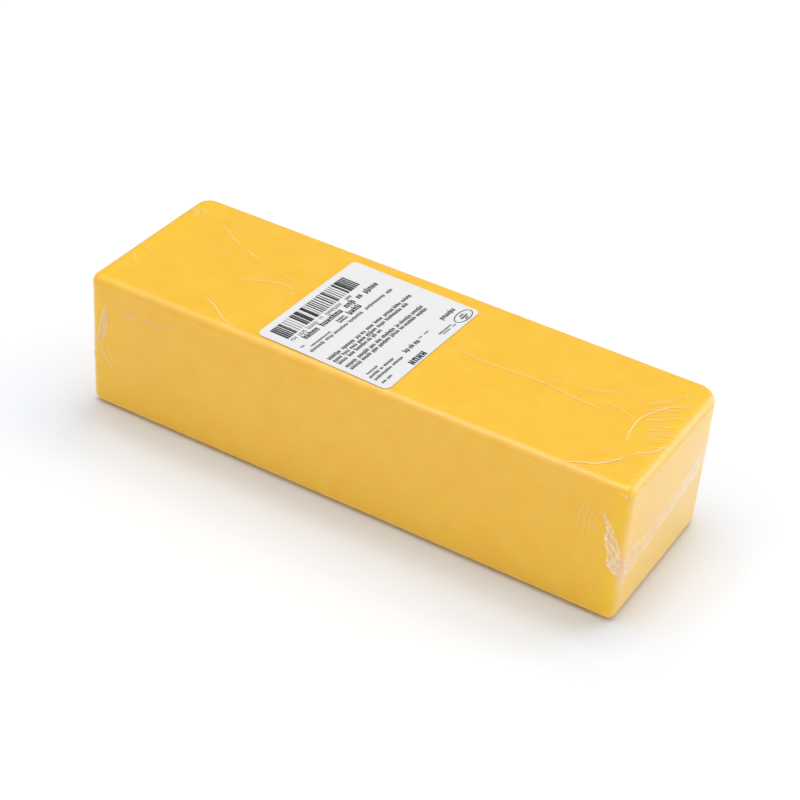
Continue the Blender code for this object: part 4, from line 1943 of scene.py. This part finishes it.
@dataclass(frozen=True)
class SoftLight:
    """A square soft box that faces the loaf.

    Attributes:
        name: Its name.
        azimuth: Where it stands, in degrees from the front towards the right.
        elevation: How high it stands, in degrees.
        distance: Its distance from the loaf.
        size: Its side.
        power: Its power in watts.
    """

    name: str
    azimuth: float
    elevation: float
    distance: float
    size: float
    power: float

    def build(self) -> bpy.types.Object:
        """Adds the light, facing the middle of the loaf.

        Returns:
            The light.
        """
        data = bpy.data.lights.new(self.name, "AREA")
        data.shape = "SQUARE"
        data.size = self.size
        data.energy = self.power
        light = bpy.data.objects.new(self.name, data)
        turn = Euler((math.radians(90 - self.elevation), 0.0, math.radians(self.azimuth)))
        light.rotation_euler = turn
        back = turn.to_matrix().col[2]
        light.location = [c * self.distance for c in back]
        bpy.context.scene.collection.objects.link(light)
        return light


@dataclass
class Studio:
    """A pale floor under soft light, and the camera.

    Attributes:
        world: Strength of the even white surroundings.
        lights: The soft boxes.
        camera_place: Where the camera stands.
        camera_turn: Its rotation about X, Y and Z, in degrees.
        lens: Its focal length, in millimetres.
        sensor: Width of its frame, in millimetres.
        floor_side: Side of the floor.
        floor_depth: Thickness of the floor.
    """

    world: float = 0.315
    lights: tuple[SoftLight, ...] = (
        SoftLight("over", -90.0, 78.0, 6.0, 3.8, 153.0),
        SoftLight("high", 170.0, 68.0, 6.0, 3.3, 115.0),
        SoftLight("key", -35.0, 44.0, 3.0, 2.2, 8.5),
        SoftLight("front", 0.0, 8.0, 3.0, 0.8, 11.2),
        SoftLight("right", 90.0, 8.0, 3.0, 0.8, 13.5),
        SoftLight("edge", 143.0, 15.0, 3.0, 1.8, 23.0),
    )
    camera_place: tuple[float, float, float] = (0.37495, -0.69657, 0.59213)
    camera_turn: tuple[float, float, float] = (54.657, -4.058, 30.948)
    lens: float = 93.40
    sensor: float = 36.0
    floor_side: float = 6.0
    floor_depth: float = 0.02

    def build(self) -> None:
        """Makes the floor, the surroundings, the lights and the camera."""
        scene = bpy.context.scene
        side = np.linspace(-self.floor_side / 2, self.floor_side / 2, 3)
        points, faces = box_grid([side, side, np.array((-self.floor_depth, 0.0))])
        floor = make_piece("floor", points, [faces], FloorFinish().make(), smooth=False)
        surroundings = bpy.data.worlds.new("soft_surroundings")
        surroundings.use_nodes = True
        background = surroundings.node_tree.nodes["Background"]
        background.inputs["Color"].default_value = srgb("ffffff")
        background.inputs["Strength"].default_value = self.world
        scene.world = surroundings
        for light in self.lights:
            light.build()
        data = bpy.data.cameras.new("camera")
        data.sensor_width = self.sensor
        data.lens = self.lens
        camera = bpy.data.objects.new("camera", data)
        camera.location = self.camera_place
        camera.rotation_euler = [math.radians(a) for a in self.camera_turn]
        scene.collection.objects.link(camera)
        scene.camera = camera
        scene.view_settings.view_transform = "Standard"


def main() -> None:
    """Builds the pieces in order, hides the solids that they stand in for, and reports them."""
    form = LoafForm()
    # Creased film is solid and pale along the crease, partly milky film and partly a painted glint,
    # and lies too flat there to mirror much.
    creased = FilmFinish(
        "creased_film_and_painted_glint", milk_and_sheen="fffaf2", dense_and_glint="ffe6a8", glow=0.0, roughness=0.25, ior=1.1
    )
    # Welded film is a thicker haze, whose fine texture dulls its mirror.
    welded = FilmFinish("welded_shrink_film", milk_and_sheen="f4e4ee", ior=1.25)
    # Crumpled film is loose and glossier, and light comes through it from behind.
    crumpled = FilmFinish("crumpled_shrink_film", milk_and_sheen="fff6ee", glow=0.25, roughness=0.14)
    creases = LEFT_TOP_CREASES + RIGHT_TOP_CREASES + LEFT_FRONT_CREASES + RIGHT_FRONT_CREASES
    right, left, front, back = 1, -1, -1, 1
    wrapped = [
        CheeseLoaf(form).build(CheeseFinish()),
        FilmSkin(form).build(FilmFinish()),
        FilmFolds(form, creases).build(creased),
        EndSeal(form, right).build(welded),
        EndSeal(form, left).build(welded),
        FilmEar(
            form, right, front, LOOSE_EAR, size=1.0, stand_off=2.4 * MM, foot=26.0 * MM, milk_and_sheen=0.62
        ).build(crumpled),
        FilmEar(
            form, right, back, LOOSE_EAR, size=0.85, stand_off=2.4 * MM, foot=31.0 * MM, milk_and_sheen=0.6
        ).build(crumpled),
        FilmEar(
            form, left, front, FLAT_EAR,
            size=1.0, stand_off=0.15 * MM, foot=34.0 * MM, milk_and_sheen=0.42, shine=0.0,
        ).build(creased),
        FilmEar(
            form, left, back, LOOSE_EAR, size=0.9, stand_off=2.1 * MM, foot=29.0 * MM, milk_and_sheen=0.6
        ).build(crumpled),
    ]
    label = Label(form)
    labelled = [label.build(PaperFinish()), LabelPrint(label).build(InkFinish())]
    for node, pieces in (("wrapped_cheese", wrapped), ("label", labelled)):
        for piece in pieces:
            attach(piece, BODY)
            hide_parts(node)
            report(piece)
    Studio().build()


if __name__ == "__main__":
    logging.basicConfig(level=logging.INFO)
    main()
